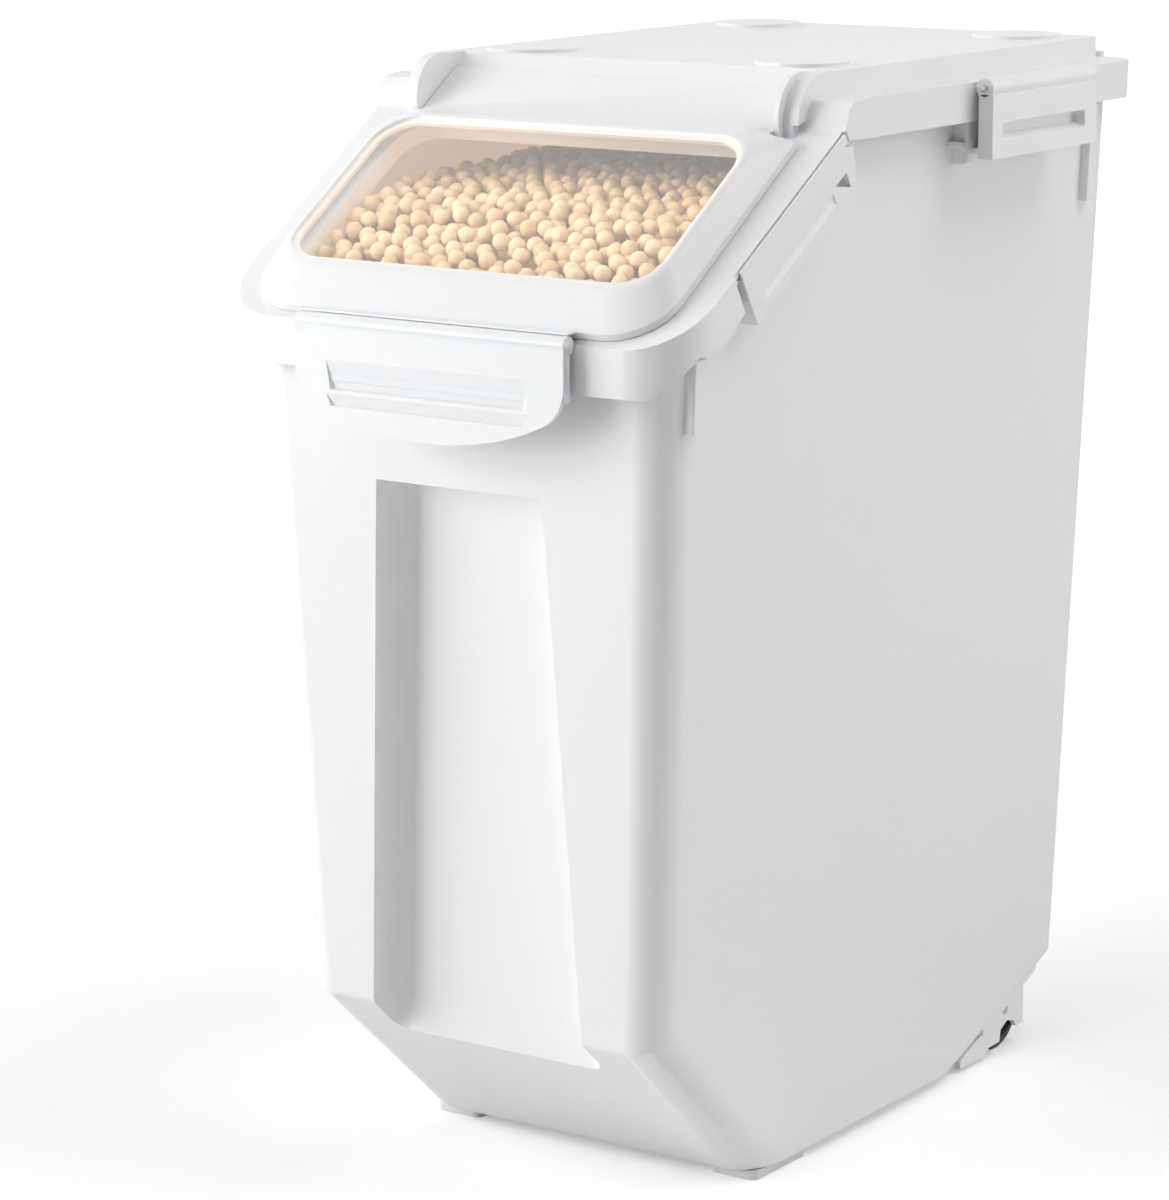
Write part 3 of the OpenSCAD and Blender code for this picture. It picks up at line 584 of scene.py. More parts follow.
def scattered(rng, gap, low, high, tries):
    """Points thrown at random over an area, none nearer to another than the gap."""
    points = []
    grid = {}
    for _ in range(tries):
        x, y = rng.uniform(low[0], high[0]), rng.uniform(low[1], high[1])
        i, j = int(x // gap), int(y // gap)
        near = (grid.get((i + di, j + dj), ()) for di in (-1, 0, 1) for dj in (-1, 0, 1))
        if any((x - px) ** 2 + (y - py) ** 2 < gap * gap for cell in near for px, py in cell):
            continue
        grid.setdefault((i, j), []).append((x, y))
        points.append((x, y))
    return points


def loose_beans():
    """Two layers of beans lying on the heap, each bean turned its own way, the lower layer shifted to
    darker tones as painted shade.
    """
    rng = random.Random(11)
    seed_bean = one_bean()
    points = [v.co.copy() for v in seed_bean.data.vertices]
    faces = [tuple(p.vertices) for p in seed_bean.data.polygons]
    bpy.data.objects.remove(seed_bean)
    all_points = []
    all_faces = []
    tones = []
    edge = BEAN_D / 2
    low = (-HEAP_SIDE + edge, HEAP_EDGE + edge)
    high = (HEAP_SIDE - edge, HEAP_FRONT + BEANS_DEEP)
    for depth, gap, shade in BEAN_LAYERS:
        for x, y in scattered(rng, BEAN_D * gap, low, high, BEAN_TRIES):
            lift = rng.uniform(-0.16, 0.16) * BEAN_D
            size = BEAN_D * rng.uniform(0.93, 1.05)
            turn = Euler([rng.uniform(0, FULL_TURN) for _ in range(3)]).to_matrix()
            centre = Vector((x, y, heap_height(x, y) - BEAN_LIE - depth * BEAN_D + lift))
            base = len(all_points)
            all_points.extend(centre + turn @ (p * size) for p in points)
            all_faces.extend(tuple(i + base for i in f) for f in faces)
            tones.extend([rng.random() * 0.65 + shade] * len(points))
    mesh = bpy.data.meshes.new("loose_beans")
    mesh.from_pydata(all_points, [], all_faces)
    tone = mesh.attributes.new("tone", "FLOAT", "POINT")
    tone.data.foreach_set("value", tones)
    piece = bpy.data.objects.new("loose_beans", mesh)
    bpy.context.scene.collection.objects.link(piece)
    only(piece)
    bpy.ops.object.shade_smooth()
    return piece


# ---------------------------------------------------------------- body
CHAMFER_RUN, CHAMFER_H = 77, 73
REAR_RUN, REAR_H = 86, 34
BODY_D = 353
BLOCK_TOP = 462
CORNER_FRONT_R, CORNER_REAR_R, CREASE_R = 16, 8, 1.6
RECESS_TOP, RECESS_LOW = 299, 35
RECESS_D = 16.8
RECESS_HALF, RECESS_SPREAD = 41, 0.054
RECESS_INNER_R, RECESS_SIDE_R, RECESS_TOP_R, RECESS_LIP_R = 8, 2, 5, 0.9


def tub_block():
    """The tub as a solid block, narrower at its foot, with slanted faces under its front and rear."""
    top = BLOCK_TOP
    tub = block("bin_shell", at(-half_w(top), front_y(top), 0), at(half_w(top), BODY_D, top))
    low_z = at(0, 0, 10).z
    widen_where(tub, "verts", lambda v: v.co.z < low_z, (half_w(0) / half_w(top), 1, 1))
    move_where(
        tub, "verts", lambda v: v.co.z < low_z and v.co.y < 0, (0, (front_y(0) - front_y(top)) * MM, 0)
    )
    front_run = front_y(0) + CHAMFER_RUN - front_y(CHAMFER_H)
    cut(tub, at(0, front_y(CHAMFER_H), CHAMFER_H), (0, -CHAMFER_H, -front_run))
    cut(tub, at(0, BODY_D, REAR_H), (0, REAR_H, -REAR_RUN))
    return tub


def is_upright_corner(edge, rear):
    """True for one of the tub's upright corners, at the rear or at the front."""
    if len(edge.link_faces) != 2 or (middle(edge).y > 0.02) != rear:
        return False
    sides = sorted(abs(f.normal.x) for f in edge.link_faces)
    flat = max(abs(f.normal.z) for f in edge.link_faces)
    return sides[1] > 0.9 and sides[0] < 0.5 and flat < 0.97


def recess_tool():
    """The recess as a solid: wider and deeper towards the bottom, with round inner corners."""
    back_top = front_y(RECESS_TOP) + RECESS_D
    back_low = front_y(RECESS_LOW) + RECESS_D
    half_low = RECESS_HALF + (RECESS_TOP - RECESS_LOW) * RECESS_SPREAD
    tool = block("recess_tool", at(-half_low, -40, RECESS_LOW), at(half_low, back_top, RECESS_TOP))
    middle_z = at(0, 0, 150).z
    widen_where(tool, "verts", lambda v: v.co.z > middle_z, (RECESS_HALF / half_low, 1, 1))
    deep_y = at(0, 0, 0).y
    move_where(
        tool, "verts", lambda v: v.co.z < middle_z and v.co.y > deep_y, (0, (back_low - back_top) * MM, 0)
    )
    side_x = 30 * MM
    top_z = at(0, 0, RECESS_TOP - 0.5).z
    round_edges(
        tool, RECESS_INNER_R, 8,
        lambda e: middle(e).y > deep_y and abs(middle(e).x) > side_x and 0.1 < middle(e).z < 0.25,
    )
    round_edges(
        tool, RECESS_SIDE_R, 3,
        lambda e: abs(middle(e).x) > side_x and middle(e).z > top_z
        and e.calc_length() > 0.03 and abs(e.verts[0].co.x - e.verts[1].co.x) < TINY,
    )
    round_edges(
        tool, RECESS_TOP_R, 6,
        lambda e: middle(e).y > deep_y - 0.01 and middle(e).z > top_z
        and any(f.normal.y > 0.3 for f in e.link_faces) and any(f.normal.z > 0.9 for f in e.link_faces),
    )
    return tool


def tub_rim_cut(tub):
    """Cuts the tub's top level at the rear and along the lid's slope at the front."""
    cut(tub, slope_point(0, RIM_DROP), UP_SLOPE)
    cut(tub, at(0, 0, BODY_RIM), (0, 0, 1))


def is_open_top(face):
    """True for the faces that close the tub's block at its mouth."""
    return face.normal.z > 0.7 and middle(face).z > 0.33


def side_slab(name, low, high, outer, inner):
    """A block cut along two planes that lean with the right side and lie that far outside it."""
    slab = block(name, at(*low), at(*high))
    cut(slab, side_point(outer), SIDE_OUT)
    cut(slab, side_point(inner), -SIDE_OUT)
    return slab


ON_FLANGE, FLANGE_START, FLANGE_UNDER, FLANGE_WALL = 50, 48.6, -31, 2.4
FLANGE_REAR = (sp(127.6, -5.1), (114.68, 434), (119.4, 415.8))
SHARP_SIDE = 0.6  # radians


def side_flange():
    """The slanted flange on the right side, open below, with a rear end of two straight parts."""
    flange = side_slab("side_flange", (95, 20, 340), (135, 140, 460), SKIRT_OUT, -SINK)
    cut(flange, slope_point(ON_FLANGE, RIM_DROP), UP_SLOPE)
    cut(flange, slope_point(FLANGE_START, 0), -ALONG_SLOPE)
    cut(flange, slope_point(FLANGE_START, FLANGE_UNDER), -UP_SLOPE)
    rear = [at(0, y, z) for y, z in FLANGE_REAR]
    for a, b in zip(rear, rear[1:]):
        run = b - a
        cut(flange, a, (0, -run.z, run.y))
    open_and_thicken(
        flange, FLANGE_WALL,
        lambda f: f.normal.dot(-UP_SLOPE) > 0.95 or f.normal.dot(-SIDE_OUT) > 0.95,
    )
    soften(flange, 0.7, 3, SHARP_SIDE)
    flange_marks(flange)
    return flange


def slope_slab(name, start, end, half, x_from, x_to):
    """A straight bar between two points given along and above the slope."""
    a, b = slope_point(*start), slope_point(*end)
    run = b - a
    bpy.ops.object.select_all(action="DESELECT")
    bpy.ops.mesh.primitive_cube_add(size=1, location=(a + b) / 2, rotation=(math.atan2(run.z, run.y), 0, 0))
    slab = bpy.context.object
    slab.name = name
    slab.location.x = (x_from + x_to) / 2 * MM
    slab.scale = ((x_to - x_from) * MM, run.length, 2 * half * MM)
    settle(slab)
    return slab


GROOVE_R, GROOVE_LENGTH, GROOVE_OFF = 6, 59, 5.2
GROOVE_START = (59, -22.5)
HOLE_START, HOLE_END, HOLE_MID = 120.5, 130, -22
HOLE_HALF, HOLE_REACH = 3.8, 8
HOLE_WIDE, HOLE_HIGH = 9.5, 7.6


def flange_marks(flange):
    """The shallow groove along the flange and the small three-cornered hole at its upper end."""
    face_x = half_w(GAUGE_H) + SKIRT_OUT
    start = slope_point(*GROOVE_START, face_x)
    along = (ALONG_SLOPE - SIDE_OUT * ALONG_SLOPE.dot(SIDE_OUT)).normalized()
    start -= SIDE_OUT * (start - side_point(SKIRT_OUT)).dot(SIDE_OUT)
    bpy.ops.object.select_all(action="DESELECT")
    bpy.ops.mesh.primitive_cylinder_add(
        vertices=96, radius=GROOVE_R * MM, depth=GROOVE_LENGTH * MM,
        location=start + along * (GROOVE_LENGTH / 2) * MM + SIDE_OUT * GROOVE_OFF * MM,
        rotation=along.to_track_quat("Z", "Y").to_euler(),
    )
    groove = bpy.context.object
    groove.name = "groove"
    settle(groove)
    carve(flange, groove)
    hole = slope_slab(
        "hole", (HOLE_START, HOLE_MID), (HOLE_END, HOLE_MID), HOLE_HALF,
        face_x - HOLE_REACH, face_x + HOLE_REACH,
    )
    corner = slope_point(HOLE_START, HOLE_MID + HOLE_HALF)
    cut(hole, corner, ALONG_SLOPE * -HOLE_HIGH - UP_SLOPE * HOLE_WIDE)
    carve(flange, hole)


LIP_START, LIP_END, LIP_TOP, LIP_UNDER = 48.9, 136.5, -4.2, 0.6


def flange_lip():
    """The narrow strip along the flange's upper edge, nearly level with its outside."""
    lip = side_slab("flange_lip", (95, 20, 360), (135, 130, 460), SKIRT_OUT - 0.05, SKIRT_OUT - 1.3)
    cut(lip, slope_point(ON_FLANGE, LIP_TOP), UP_SLOPE)
    cut(lip, slope_point(ON_FLANGE, RIM_DROP - LIP_UNDER), -UP_SLOPE)
    cut(lip, slope_point(LIP_START, 0), -ALONG_SLOPE)
    cut(lip, slope_point(LIP_END, 0), ALONG_SLOPE)
    soften(lip, 0.3, 2, SHARP_SIDE)
    return lip


def wall_bar(name, out, low, high, bevel):
    """A bar on the right side wall that stands out by some millimetres."""
    bar = side_slab(name, (90, *low), (135, *high), out, -SINK)
    soften(bar, bevel, 3, SHARP_SIDE)
    return bar


WHEEL_X, WELL_HALF = 72.7, 11.8
WELL_FRONT, WELL_REAR, WELL_TOP = 291.4, 336.6, 39.7
COVER_WALL = 2


def well_tool(x):
    """The space of the wheel well at x, open downwards."""
    low = at(x - WELL_HALF, WELL_FRONT, -20)
    high = at(x + WELL_HALF, WELL_REAR, WELL_TOP)
    return block("well_tool", low, high)


def is_well_wall(face):
    """True for a face that a wheel well cut into the tub."""
    low = at(0, WELL_FRONT - 0.1, 0)
    high = at(WELL_HALF + 0.1, WELL_REAR + 0.1, WELL_TOP + 0.1)
    centre = face.calc_center_median()
    inside = abs(abs(centre.x) - WHEEL_X * MM) < high.x and low.y < centre.y < high.y
    return inside and centre.z < high.z and max(abs(part) for part in face.normal) > 0.99


def well_cover(x):
    """The thin box round a wheel well, on the inside of the tail."""
    low = at(x - WELL_HALF - COVER_WALL, WELL_FRONT - COVER_WALL, 1)
    high = at(x + WELL_HALF + COVER_WALL, WELL_REAR + COVER_WALL, WELL_TOP + COVER_WALL)
    cover = block("well_cover", low, high)
    cut(cover, at(0, BODY_D, REAR_H + 1), (0, REAR_H, -REAR_RUN))
    carve(cover, well_tool(x))
    return cover


def is_recess_lip(edge):
    """True for an outer edge round the front recess."""
    place = middle(edge)
    near = abs(place.x) < 58 * MM and place.y < at(0, 60, 0).y
    near = near and 0.03 < place.z < at(0, 0, RECESS_TOP + 1).z
    return near and edge.is_convex and corner_angle(edge) > 25


def bin_shell():
    """The tub with its recess, wells, flanges, ribs and ledges."""
    tub = tub_block()
    round_edges(tub, CORNER_FRONT_R, 10, lambda e: is_upright_corner(e, False))
    round_edges(tub, CORNER_REAR_R, 6, lambda e: is_upright_corner(e, True))
    creases = [at(0, 0, z).z for z in (0, CHAMFER_H, REAR_H)]
    round_edges(
        tub, CREASE_R, 3,
        lambda e: corner_angle(e) > 12 and is_level(e)
        and min(abs(middle(e).z - z) for z in creases) < 0.4 * MM,
    )
    carve(tub, recess_tool())
    round_edges(tub, RECESS_LIP_R, 3, is_recess_lip)
    carve(tub, well_tool(-WHEEL_X))
    carve(tub, well_tool(WHEEL_X))
    tub_rim_cut(tub)
    open_and_thicken(tub, WALL, lambda f: is_open_top(f) or is_well_wall(f))
    right = [
        side_flange(),
        flange_lip(),
        wall_bar("front_rib", 3.8, (15, 328.7), (23.5, 358.7), 0.8),
        wall_bar("rear_rib", 4, (329.5, 391), (336.5, 434.5), 0.8),
        wall_bar("latch_boss", 7, (213, 417), (223, 436.5), 1.8),
        well_cover(WHEEL_X),
        wall_bar("latch_ledge", 6, (209, 424.7), (297, 427.4), 0.5),
    ]
    left = [mirrored(part, part.name + "_left") for part in right]
    return smooth(join("bin_shell", tub, *right, *left))


# ---------------------------------------------------------------- front flap
FLAP_HALF = 66
FLAP_FRONT = -16.2485
FLAP_BOTTOM = 320.4
FLAP_AXIS_Y, FLAP_AXIS_Z, FLAP_R = -12.4485, 364.4, 3.8
FLAP_EDGE_R = 144
FLAP_CORNER_R, FLAP_CORNER_RUN = 11, 17
FLAP_SHEET = 2.5
GRIP_HALF = 50
GRIPS = ((337.2, 350, 1.6), (330.6, 336.4, 1.3))
CHEEK_IN, CHEEK_REAR, CHEEK_LOW, CHEEK_TOP = 63.5, -11.25, 342, 363.5
HOOK_HALF, HOOK_REAR, HOOK_LOW, HOOK_TOP = 56, -6.55, 341.3, 344.3


def rod(name, radius, start, end, bevel=0.4):
    """A round bar between two points, its ends slightly rounded."""
    run = end - start
    bpy.ops.object.select_all(action="DESELECT")
    bpy.ops.mesh.primitive_cylinder_add(
        vertices=40, radius=radius * MM, depth=run.length, location=(start + end) / 2,
        rotation=run.to_track_quat("Z", "Y").to_euler(),
    )
    bar = bpy.context.object
    bar.name = name
    settle(bar)
    soften(bar, bevel)
    return bar


def flap_outline():
    """The flap's flat sheet: the lower part of a large disc, with round lower corners."""
    bpy.ops.object.select_all(action="DESELECT")
    bpy.ops.mesh.primitive_circle_add(
        vertices=288, radius=FLAP_EDGE_R * MM, fill_type="NGON",
        location=at(0, FLAP_FRONT, FLAP_BOTTOM + FLAP_EDGE_R), rotation=(math.pi / 2, 0, 0),
    )
    sheet = bpy.context.object
    sheet.name = "front_flap"
    settle(sheet)
    sides = (
        (at(FLAP_HALF, 0, 0), (1, 0, 0)),
        (at(-FLAP_HALF, 0, 0), (-1, 0, 0)),
        (at(0, 0, FLAP_AXIS_Z), (0, 0, 1)),
    )
    for point, normal in sides:
        edit(sheet)
        bpy.ops.mesh.select_all(action="SELECT")
        bpy.ops.mesh.bisect(plane_co=point, plane_no=normal, clear_outer=True)
        leave_edit()
    corner_x = (FLAP_HALF - 0.01) * MM
    low_z = at(0, 0, 350).z
    edit(sheet)
    start_x = (FLAP_HALF - FLAP_CORNER_RUN) * MM
    pick(sheet, "verts", lambda v: start_x < abs(v.co.x) < corner_x and v.co.z < low_z)
    bpy.ops.mesh.dissolve_verts()
    pick(sheet, "verts", lambda v: abs(v.co.x) > corner_x and v.co.z < low_z)
    bpy.ops.mesh.bevel(offset_type="OFFSET", offset=FLAP_CORNER_R * MM, segments=7, affect="VERTICES")
    bpy.ops.mesh.select_all(action="SELECT")
    bpy.ops.mesh.extrude_region_move(TRANSFORM_OT_translate={"value": (0, FLAP_SHEET * MM, 0)})
    bpy.ops.mesh.select_all(action="SELECT")
    bpy.ops.mesh.normals_make_consistent(inside=False)
    leave_edit()
    return sheet


def grip_wedge(low, high, depth):
    """A groove across the flap that deepens downwards and narrows inwards."""
    wedge = block("wedge", at(-GRIP_HALF, FLAP_FRONT - 2, low), at(GRIP_HALF, FLAP_FRONT + depth, high))
    inner = at(0, FLAP_FRONT + depth, 0).y - TINY / 2
    middle_z = at(0, 0, (low + high) / 2).z
    move_where(
        wedge, "verts", lambda v: v.co.y > inner and v.co.z > middle_z, (0, (0.02 - depth) * MM, 0)
    )
    move_where(wedge, "verts", lambda v: v.co.y > inner, (0, 0, 0.8 * depth * MM))
    widen_where(wedge, "verts", lambda v: v.co.y > inner, (0.93, 1, 1))
    return wedge


def front_flap():
    """The wide flap with its two grooves, the roll round its pin, two cheeks and the hook."""
    flap = flap_outline()
    for low, high, depth in GRIPS:
        carve(flap, grip_wedge(low, high, depth))
    soften(flap, 0.5, 3)
    roll_y, roll_z = FLAP_AXIS_Y, FLAP_AXIS_Z
    parts = [rod("roll", FLAP_R, at(-FLAP_HALF, roll_y, roll_z), at(FLAP_HALF, roll_y, roll_z))]
    for x0, x1 in ((-FLAP_HALF, -CHEEK_IN), (CHEEK_IN, FLAP_HALF)):
        cheek = block("cheek", at(x0, FLAP_FRONT + 0.6, CHEEK_LOW), at(x1, CHEEK_REAR, CHEEK_TOP))
        soften(cheek, 0.5)
        parts.append(cheek)
    hook = block("hook", at(-HOOK_HALF, FLAP_FRONT + 0.8, HOOK_LOW), at(HOOK_HALF, HOOK_REAR, HOOK_TOP))
    soften(hook, 0.5)
    return smooth(join("front_flap", flap, hook, *parts))


# ---------------------------------------------------------------- side latches
LATCH_Y0, LATCH_Y1 = 210.5, 303
LATCH_X, LATCH_Z, LATCH_R = 122.398, 450.1, 4.3
LATCH_OUT = LATCH_X + LATCH_R
LATCH_LOW = LATCH_Z - 29.6
PLATE_IN, PLATE_DROP = 119.7, 2.5
POCKET_IN, POCKET_Y0, POCKET_Y1, POCKET_LOW, POCKET_TOP = 121.3, 219, 292, 426.4, 435.4
POCKET_FLOOR_RISE, POCKET_R = 3.8, 1.2
LATCH_HOOK_IN, LATCH_HOOK_OUT, LATCH_HOOK_INSET = 109.1, 122, 7
LATCH_HOOK_LOW, LATCH_HOOK_TOP = 421.6, 424.4


def side_flap():
    """The right side's latch: a rolled top, a thick plate and a pocket for the fingers."""
    plate_top = at(LATCH_OUT, LATCH_Y1, LATCH_Z - PLATE_DROP)
    plate = block("side_flap_right", at(PLATE_IN, LATCH_Y0, LATCH_LOW), plate_top)
    pocket = block("pocket", at(POCKET_IN, POCKET_Y0, POCKET_LOW), at(130, POCKET_Y1, POCKET_TOP))
    inner = at(POCKET_IN, 0, 0).x + TINY / 2
    low = at(0, 0, 430).z
    move_where(
        pocket, "verts", lambda v: v.co.x < inner and v.co.z < low, (0, 0, POCKET_FLOOR_RISE * MM)
    )
    round_edges(pocket, POCKET_R, 3, lambda e: middle(e).x > inner + 2 * MM)
    carve(plate, pocket)
    soften(plate, 0.7, 3)
    roll = rod("roll", LATCH_R, at(LATCH_X, LATCH_Y0, LATCH_Z), at(LATCH_X, LATCH_Y1, LATCH_Z), 0.8)
    hook = block(
        "hook", at(LATCH_HOOK_IN, LATCH_Y0 + LATCH_HOOK_INSET, LATCH_HOOK_LOW),
        at(LATCH_HOOK_OUT, LATCH_Y1 - LATCH_HOOK_INSET, LATCH_HOOK_TOP),
    )
    soften(hook, 0.5)
    return smooth(join("side_flap_right", plate, hook, roll))


# ---------------------------------------------------------------- lid
WINDOW_RISE = 9
WINDOW_MID, WINDOW_HALF_X, WINDOW_HALF_V = 68.4, 93.5, 58.5
# The lowest height under the slope that gets the painted light under the window, and the heights of the
# ledge.
PAINTED_LIGHT_LOW, LEDGE_LOW, LEDGE_HIGH = -20, 5, 7.2
FRONT_LIP_HALF, FRONT_LIP_Y0, FRONT_LIP_Y1 = 65.6, -12.6, -6.6
FRONT_LIP_LOW, FRONT_LIP_TOP = 368.35, 369.3


def above_slope(point):
    """Height over the lid's slope, in millimetres."""
    y, z = point.y / MM + MID_Y, point.z / MM - FOOT
    return (z - SLOPE_Z) * COS - (y - SLOPE_Y) * SIN


def rises_from(edge, height):
    """True for an outer edge at that height where a level face meets a sloping one."""
    if len(edge.link_faces) != 2 or not edge.is_convex:
        return False
    if any(abs(above_slope(v.co) - height) > 0.2 for v in edge.verts):
        return False
    tops = sorted(f.normal.dot(UP_SLOPE) for f in edge.link_faces)
    return tops[0] > 0.12 and tops[1] - tops[0] > 0.05


def is_foot_edge(edge):
    """True for the lid's outer edge at the foot of its raised window frame."""
    if len(edge.link_faces) != 2 or not edge.is_convex:
        return False
    if any(abs(above_slope(v.co)) > 0.2 for v in edge.verts):
        return False
    tops = sorted(f.normal.dot(UP_SLOPE) for f in edge.link_faces)
    return abs(tops[0]) < 0.1 and 0.12 < tops[1] < 0.97


def round_lid(lid):
    round_edges(lid, 2, 5, lambda e: rises_from(e, WINDOW_RISE))
    round_edges(lid, 1.4, 4, is_foot_edge)


def flip_lid():
    """The lid, with a thin lip along its front edge over the flap's roll."""
    shell = refined("flip_lid", "flip_lid_shell", 0.35, first=round_lid)
    low = at(-FRONT_LIP_HALF, FRONT_LIP_Y0, FRONT_LIP_LOW)
    lip = block("front_lip", low, at(FRONT_LIP_HALF, FRONT_LIP_Y1, FRONT_LIP_TOP))
    soften(lip, 0.3)
    return smooth(join("flip_lid_shell", shell, lip))


# ---------------------------------------------------------------- pane
PANE_RISE = 0.65 * MM
PANE_REACH = 0.7
PANE_HALF_X, PANE_HALF_V = 91, 43


def pane():
    """The pane, its edge a little way into the lid's wall."""
    sheet = refined("lid_window", "window_pane", 0)
    tilt = Matrix.Rotation(SLOPE, 4, "X")
    centre = sum((v.co for v in sheet.data.vertices), Vector()) / len(sheet.data.vertices)
    wider = Matrix.Diagonal((1 + PANE_REACH / PANE_HALF_X, 1 + PANE_REACH / PANE_HALF_V, 1, 1))
    there = Matrix.Translation(centre)
    raised = Matrix.Translation((0, -SIN * PANE_RISE, COS * PANE_RISE))
    sheet.data.transform(raised @ there @ tilt @ wider @ tilt.inverted() @ there.inverted())
    return sheet


def paint_light_below_pane(piece):
    """Gives the walls and ledge under the window the painted light: a darker warm colour and a painted glow
    in place of the light that soaks through them.
    """
    piece.data.materials.append(PAINTED_INSIDE_LIGHT)
    centre = slope_point(WINDOW_MID, 0)
    for face in piece.data.polygons:
        away = face.center - centre
        v = away.dot(ALONG_SLOPE) / MM
        w = away.dot(UP_SLOPE) / MM
        x = away.x / MM
        if abs(x) > WINDOW_HALF_X or abs(v) > WINDOW_HALF_V or not PAINTED_LIGHT_LOW < w < LEDGE_HIGH:
            continue
        flat = face.normal - UP_SLOPE * face.normal.dot(UP_SLOPE)
        faces_in = -flat.x * x / WINDOW_HALF_X ** 2 - flat.dot(ALONG_SLOPE) * v / WINDOW_HALF_V ** 2
        on_ledge = face.normal.dot(UP_SLOPE) > 0.7 and LEDGE_LOW < w < LEDGE_HIGH
        if faces_in > 0.003 or on_ledge:
            face.material_index = 1


def paint_light_in_tub(piece):
    """Gives the tub's inner side walls and rear wall the same painted warm light and glow as the walls
    under the window.
    """
    piece.data.materials.append(PAINTED_INSIDE_LIGHT)
    for face in piece.data.polygons:
        side = math.copysign(1, face.center.x)
        on_side = face.normal.x * side < -0.5 and 0.08 < abs(face.center.x) < 0.103
        on_rear = face.normal.y < -0.5 and face.center.y > at(0, 345, 0).y
        if on_side or on_rear:
            face.material_index = 1


# ---------------------------------------------------------------- the pieces
ONE, TWO = ("",), ("_left", "_right")
PLAN = [
    ("lid_frame", "lid_frame_shell", ONE, "bin", "body_white", FRAME_WHITE, 0.5, 2),
    ("frame_seal", "rim_seal", ONE, "bin", "seal_rubber", SEAL, 0.2, 2),
    ("lid_seal", "lid_seal_ring", ONE, "lid", "seal_rubber", SEAL, 0.2, 2),
    ("hinge_pin", "hinge_rod", TWO, "bin", "pin_steel", STEEL, 0.2, 2),
    ("front_latch_pin", "front_flap_rod", ONE, "lid", "pin_steel", STEEL, 0.2, 2),
    ("side_latch_pin", "side_rod", TWO, "bin", "pin_steel", STEEL, 0.2, 2),
    ("wheel_bracket", "caster_housing", TWO, "bin", "body_white", BODY_WHITE, 0.3, 2),
    ("wheel", "roller", TWO, "wheel", "wheel_black", WHEEL_BLACK, 0.3, 2),
    ("wheel_axle", "axle_rod", TWO, "bin", "pin_steel", STEEL, 0.2, 2),
    ("foot", "pad_foot", TWO, "bin", "foot_white", FOOT_WHITE, 0.6, 3),
]
for node, name, sides, body, slot, material, bevel, segments in PLAN:
    for side in sides:
        # Each wheel is a body of its own, and the other rows ride on a body that both sides share.
        own_body = body + side if body == node else body
        piece = refined(node + side, name + side, bevel, segments)
        finish_piece(piece, own_body, slot, material, node + side)
# The tub's inner walls and the frame's walls under the window get the painted warm light and glow.
paint_light_in_tub(finish_piece(bin_shell(), "bin", "body_white", BODY_WHITE, "bin_body"))
paint_light_below_pane(bpy.data.objects["lid_frame_shell"])
finish_piece(front_flap(), "front_latch", "lid_frosted", FROSTED, "front_latch")
right_flap = side_flap()
left_flap = mirrored(right_flap, "side_flap_left")
finish_piece(right_flap, "side_latch_right", "body_white", FRAME_WHITE, "side_latch_right")
finish_piece(smooth(left_flap), "side_latch_left", "body_white", FRAME_WHITE, "side_latch_left")
lid_piece = finish_piece(flip_lid(), "lid", "lid_frosted", FROSTED, "flip_lid")
# The lid's walls under the window get the same painted light.
paint_light_below_pane(lid_piece)
finish_piece(pane(), "lid", "window_clear", PANE, "lid_window")

heap = bean_heap()
beans = loose_beans()
# The heap has no tone of its own, so it takes the dark end of the bean colours: painted shade in the gaps
# between the loose beans.
for piece in (heap, beans):
    piece.data.materials.append(BEAN)
    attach(piece, "bin")


# ---------------------------------------------------------------- stage, light and camera
WORLD_LIGHT = 0.12
FLOOR_GLOW, GLOW_FROM, GLOW_FULL = 0.31, 0.5, 2.2
MIDDLE = (0, 0, 0.24)
EYE = (0.9766, -1.50008, 0.6035)
AIM = (-0.05975, -0.00088, 0.22003)
LENS, CAMERA_ROLL = 125.05, -0.11


def studio_world():
    """A white backdrop that itself lights the part only faintly."""
    world = bpy.data.worlds.new("studio")
    bpy.context.scene.world = world
    world.use_nodes = True
    nodes, links = world.node_tree.nodes, world.node_tree.links
    back = nodes["Background"]
    back.inputs["Color"].default_value = (1, 1, 1, 1)
    path = nodes.new("ShaderNodeLightPath")
    seen = nodes.new("ShaderNodeMath")
    seen.operation = "MAXIMUM"
    seen_through = nodes.new("ShaderNodeMath")
    seen_through.operation = "MAXIMUM"
    links.new(path.outputs["Is Camera Ray"], seen.inputs[0])
    links.new(path.outputs["Is Glossy Ray"], seen.inputs[1])
    links.new(seen.outputs["Value"], seen_through.inputs[0])
    links.new(path.outputs["Is Transmission Ray"], seen_through.inputs[1])
    strength = nodes.new("ShaderNodeMapRange")
    strength.inputs["To Min"].default_value = WORLD_LIGHT
    strength.inputs["To Max"].default_value = 1.0
    links.new(seen_through.outputs["Value"], strength.inputs["Value"])
    links.new(strength.outputs["Result"], back.inputs["Strength"])


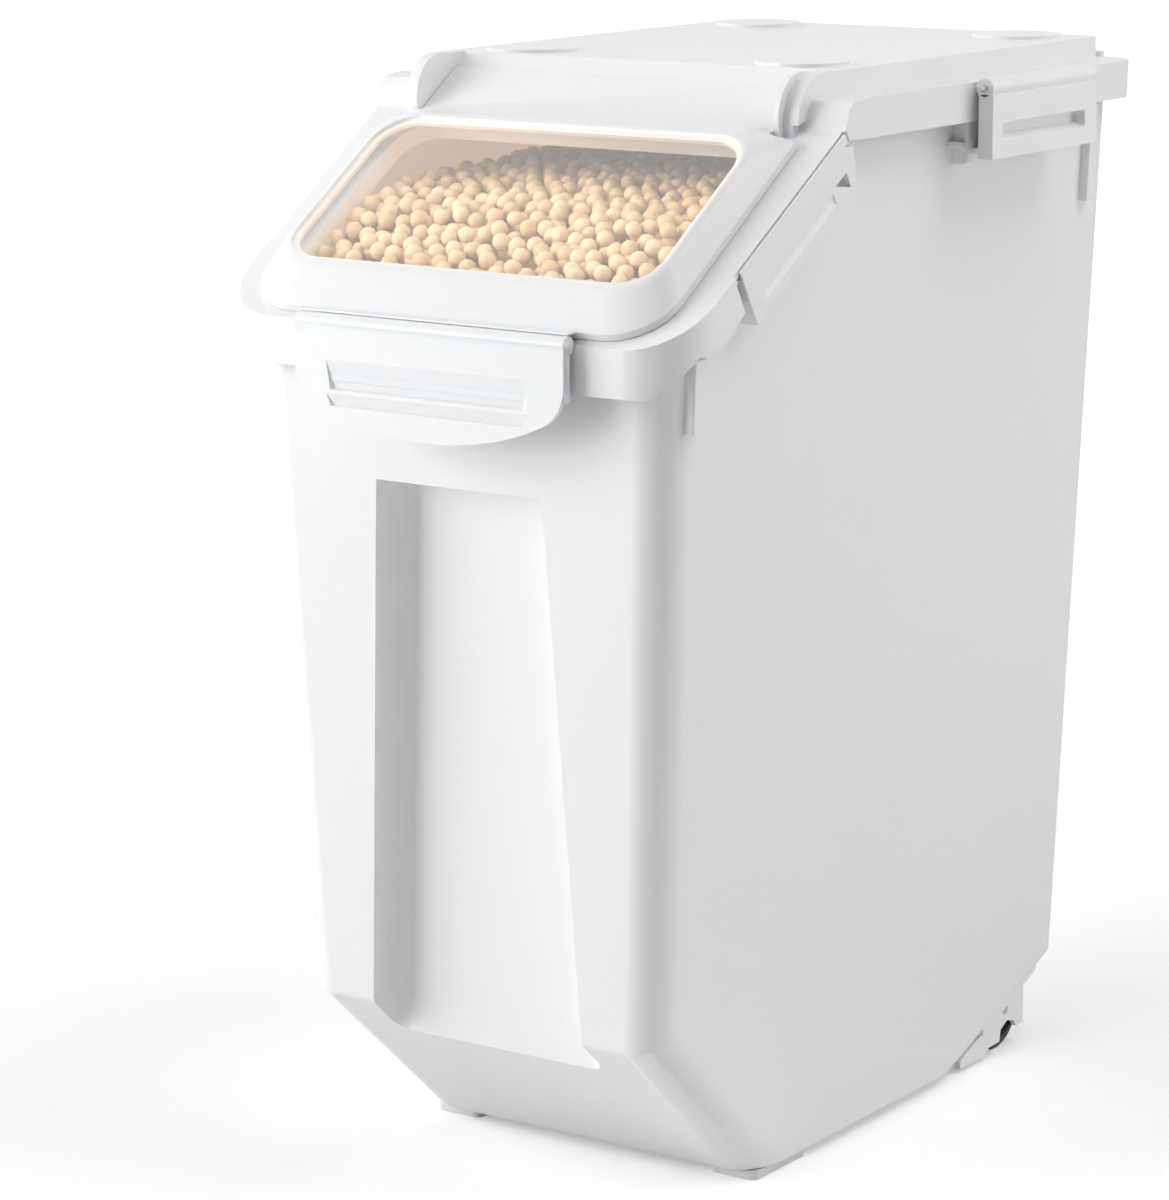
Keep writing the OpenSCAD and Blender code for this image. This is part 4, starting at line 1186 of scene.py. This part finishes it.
def floor_material():
    """A pale floor that looks white from afar and keeps the part's shadow."""
    material, tree, shader = new_material("pale_floor", Base_Color=(0.86, 0.86, 0.86, 1), Roughness=0.9)
    path = tree.nodes.new("ShaderNodeLightPath")
    glow = tree.nodes.new("ShaderNodeEmission")
    glow.inputs["Color"].default_value = (1, 1, 1, 1)
    links = tree.links
    place = tree.nodes.new("ShaderNodeTexCoord")
    reach = tree.nodes.new("ShaderNodeVectorMath")
    reach.operation = "LENGTH"
    links.new(place.outputs["Object"], reach.inputs[0])
    far = tree.nodes.new("ShaderNodeMapRange")
    far.inputs["From Min"].default_value = GLOW_FROM
    far.inputs["From Max"].default_value = GLOW_FULL
    far.inputs["To Min"].default_value = FLOOR_GLOW
    far.inputs["To Max"].default_value = 1.0
    links.new(reach.outputs["Value"], far.inputs["Value"])
    lit = tree.nodes.new("ShaderNodeMath")
    lit.operation = "MULTIPLY"
    links.new(far.outputs["Result"], lit.inputs[1])
    links.new(path.outputs["Is Camera Ray"], lit.inputs[0])
    links.new(lit.outputs["Value"], glow.inputs["Strength"])
    both = tree.nodes.new("ShaderNodeAddShader")
    links.new(shader.outputs["BSDF"], both.inputs[0])
    links.new(glow.outputs["Emission"], both.inputs[1])
    links.new(both.outputs["Shader"], tree.nodes["Material Output"].inputs["Surface"])
    return material


def studio_floor():
    bpy.ops.object.select_all(action="DESELECT")
    bpy.ops.mesh.primitive_plane_add(size=14, location=(0, 0, cad_low.z))
    floor = bpy.context.object
    floor.name = "studio_floor"
    settle(floor)
    floor.data.materials.append(floor_material())


def soft_lamp(name, place, aim, width, height, level):
    """An area lamp whose face shines at that level."""
    lamp = bpy.data.lights.new(name, "AREA")
    lamp.shape = "RECTANGLE"
    lamp.size = width
    lamp.size_y = height
    lamp.energy = level * math.pi * width * height
    holder = bpy.data.objects.new(name, lamp)
    holder.location = place
    holder.rotation_euler = (Vector(aim) - Vector(place)).to_track_quat("-Z", "Y").to_euler()
    bpy.context.scene.collection.objects.link(holder)
    return holder


def studio_lamps():
    """Five soft lamps, each with its place, aim, width, height and level."""
    soft_lamp("key_front_left", (-1.75, -1.55, 0.75), MIDDLE, 2.0, 1.8, 4.8)
    soft_lamp("side_right_rear", (1.95, 1.15, 0.8), MIDDLE, 2.0, 1.8, 1.55)
    soft_lamp("card_upper_left", (-1.25, -0.05, 2.2), (0, -0.13, 0.43), 1.3, 1.3, 0.85)
    soft_lamp("card_top_front", (-0.3, -1.3, 2.1), MIDDLE, 1.4, 1.4, 1.1)
    soft_lamp("card_top_right", (1.1, 0.5, 2.2), MIDDLE, 1.4, 1.4, 3.3)


def camera():
    data = bpy.data.cameras.new("view")
    data.lens = LENS
    data.sensor_width = 36
    data.clip_start = 0.05
    data.clip_end = 50
    eye, aim = Vector(EYE), Vector(AIM)
    holder = bpy.data.objects.new("view", data)
    roll = Matrix.Rotation(math.radians(CAMERA_ROLL), 3, "Z")
    holder.location = eye
    holder.rotation_euler = ((aim - eye).to_track_quat("-Z", "Y").to_matrix() @ roll).to_euler()
    bpy.context.scene.collection.objects.link(holder)
    bpy.context.scene.camera = holder


studio_world()
studio_floor()
studio_lamps()
camera()
bpy.context.scene.view_settings.view_transform = "Standard"
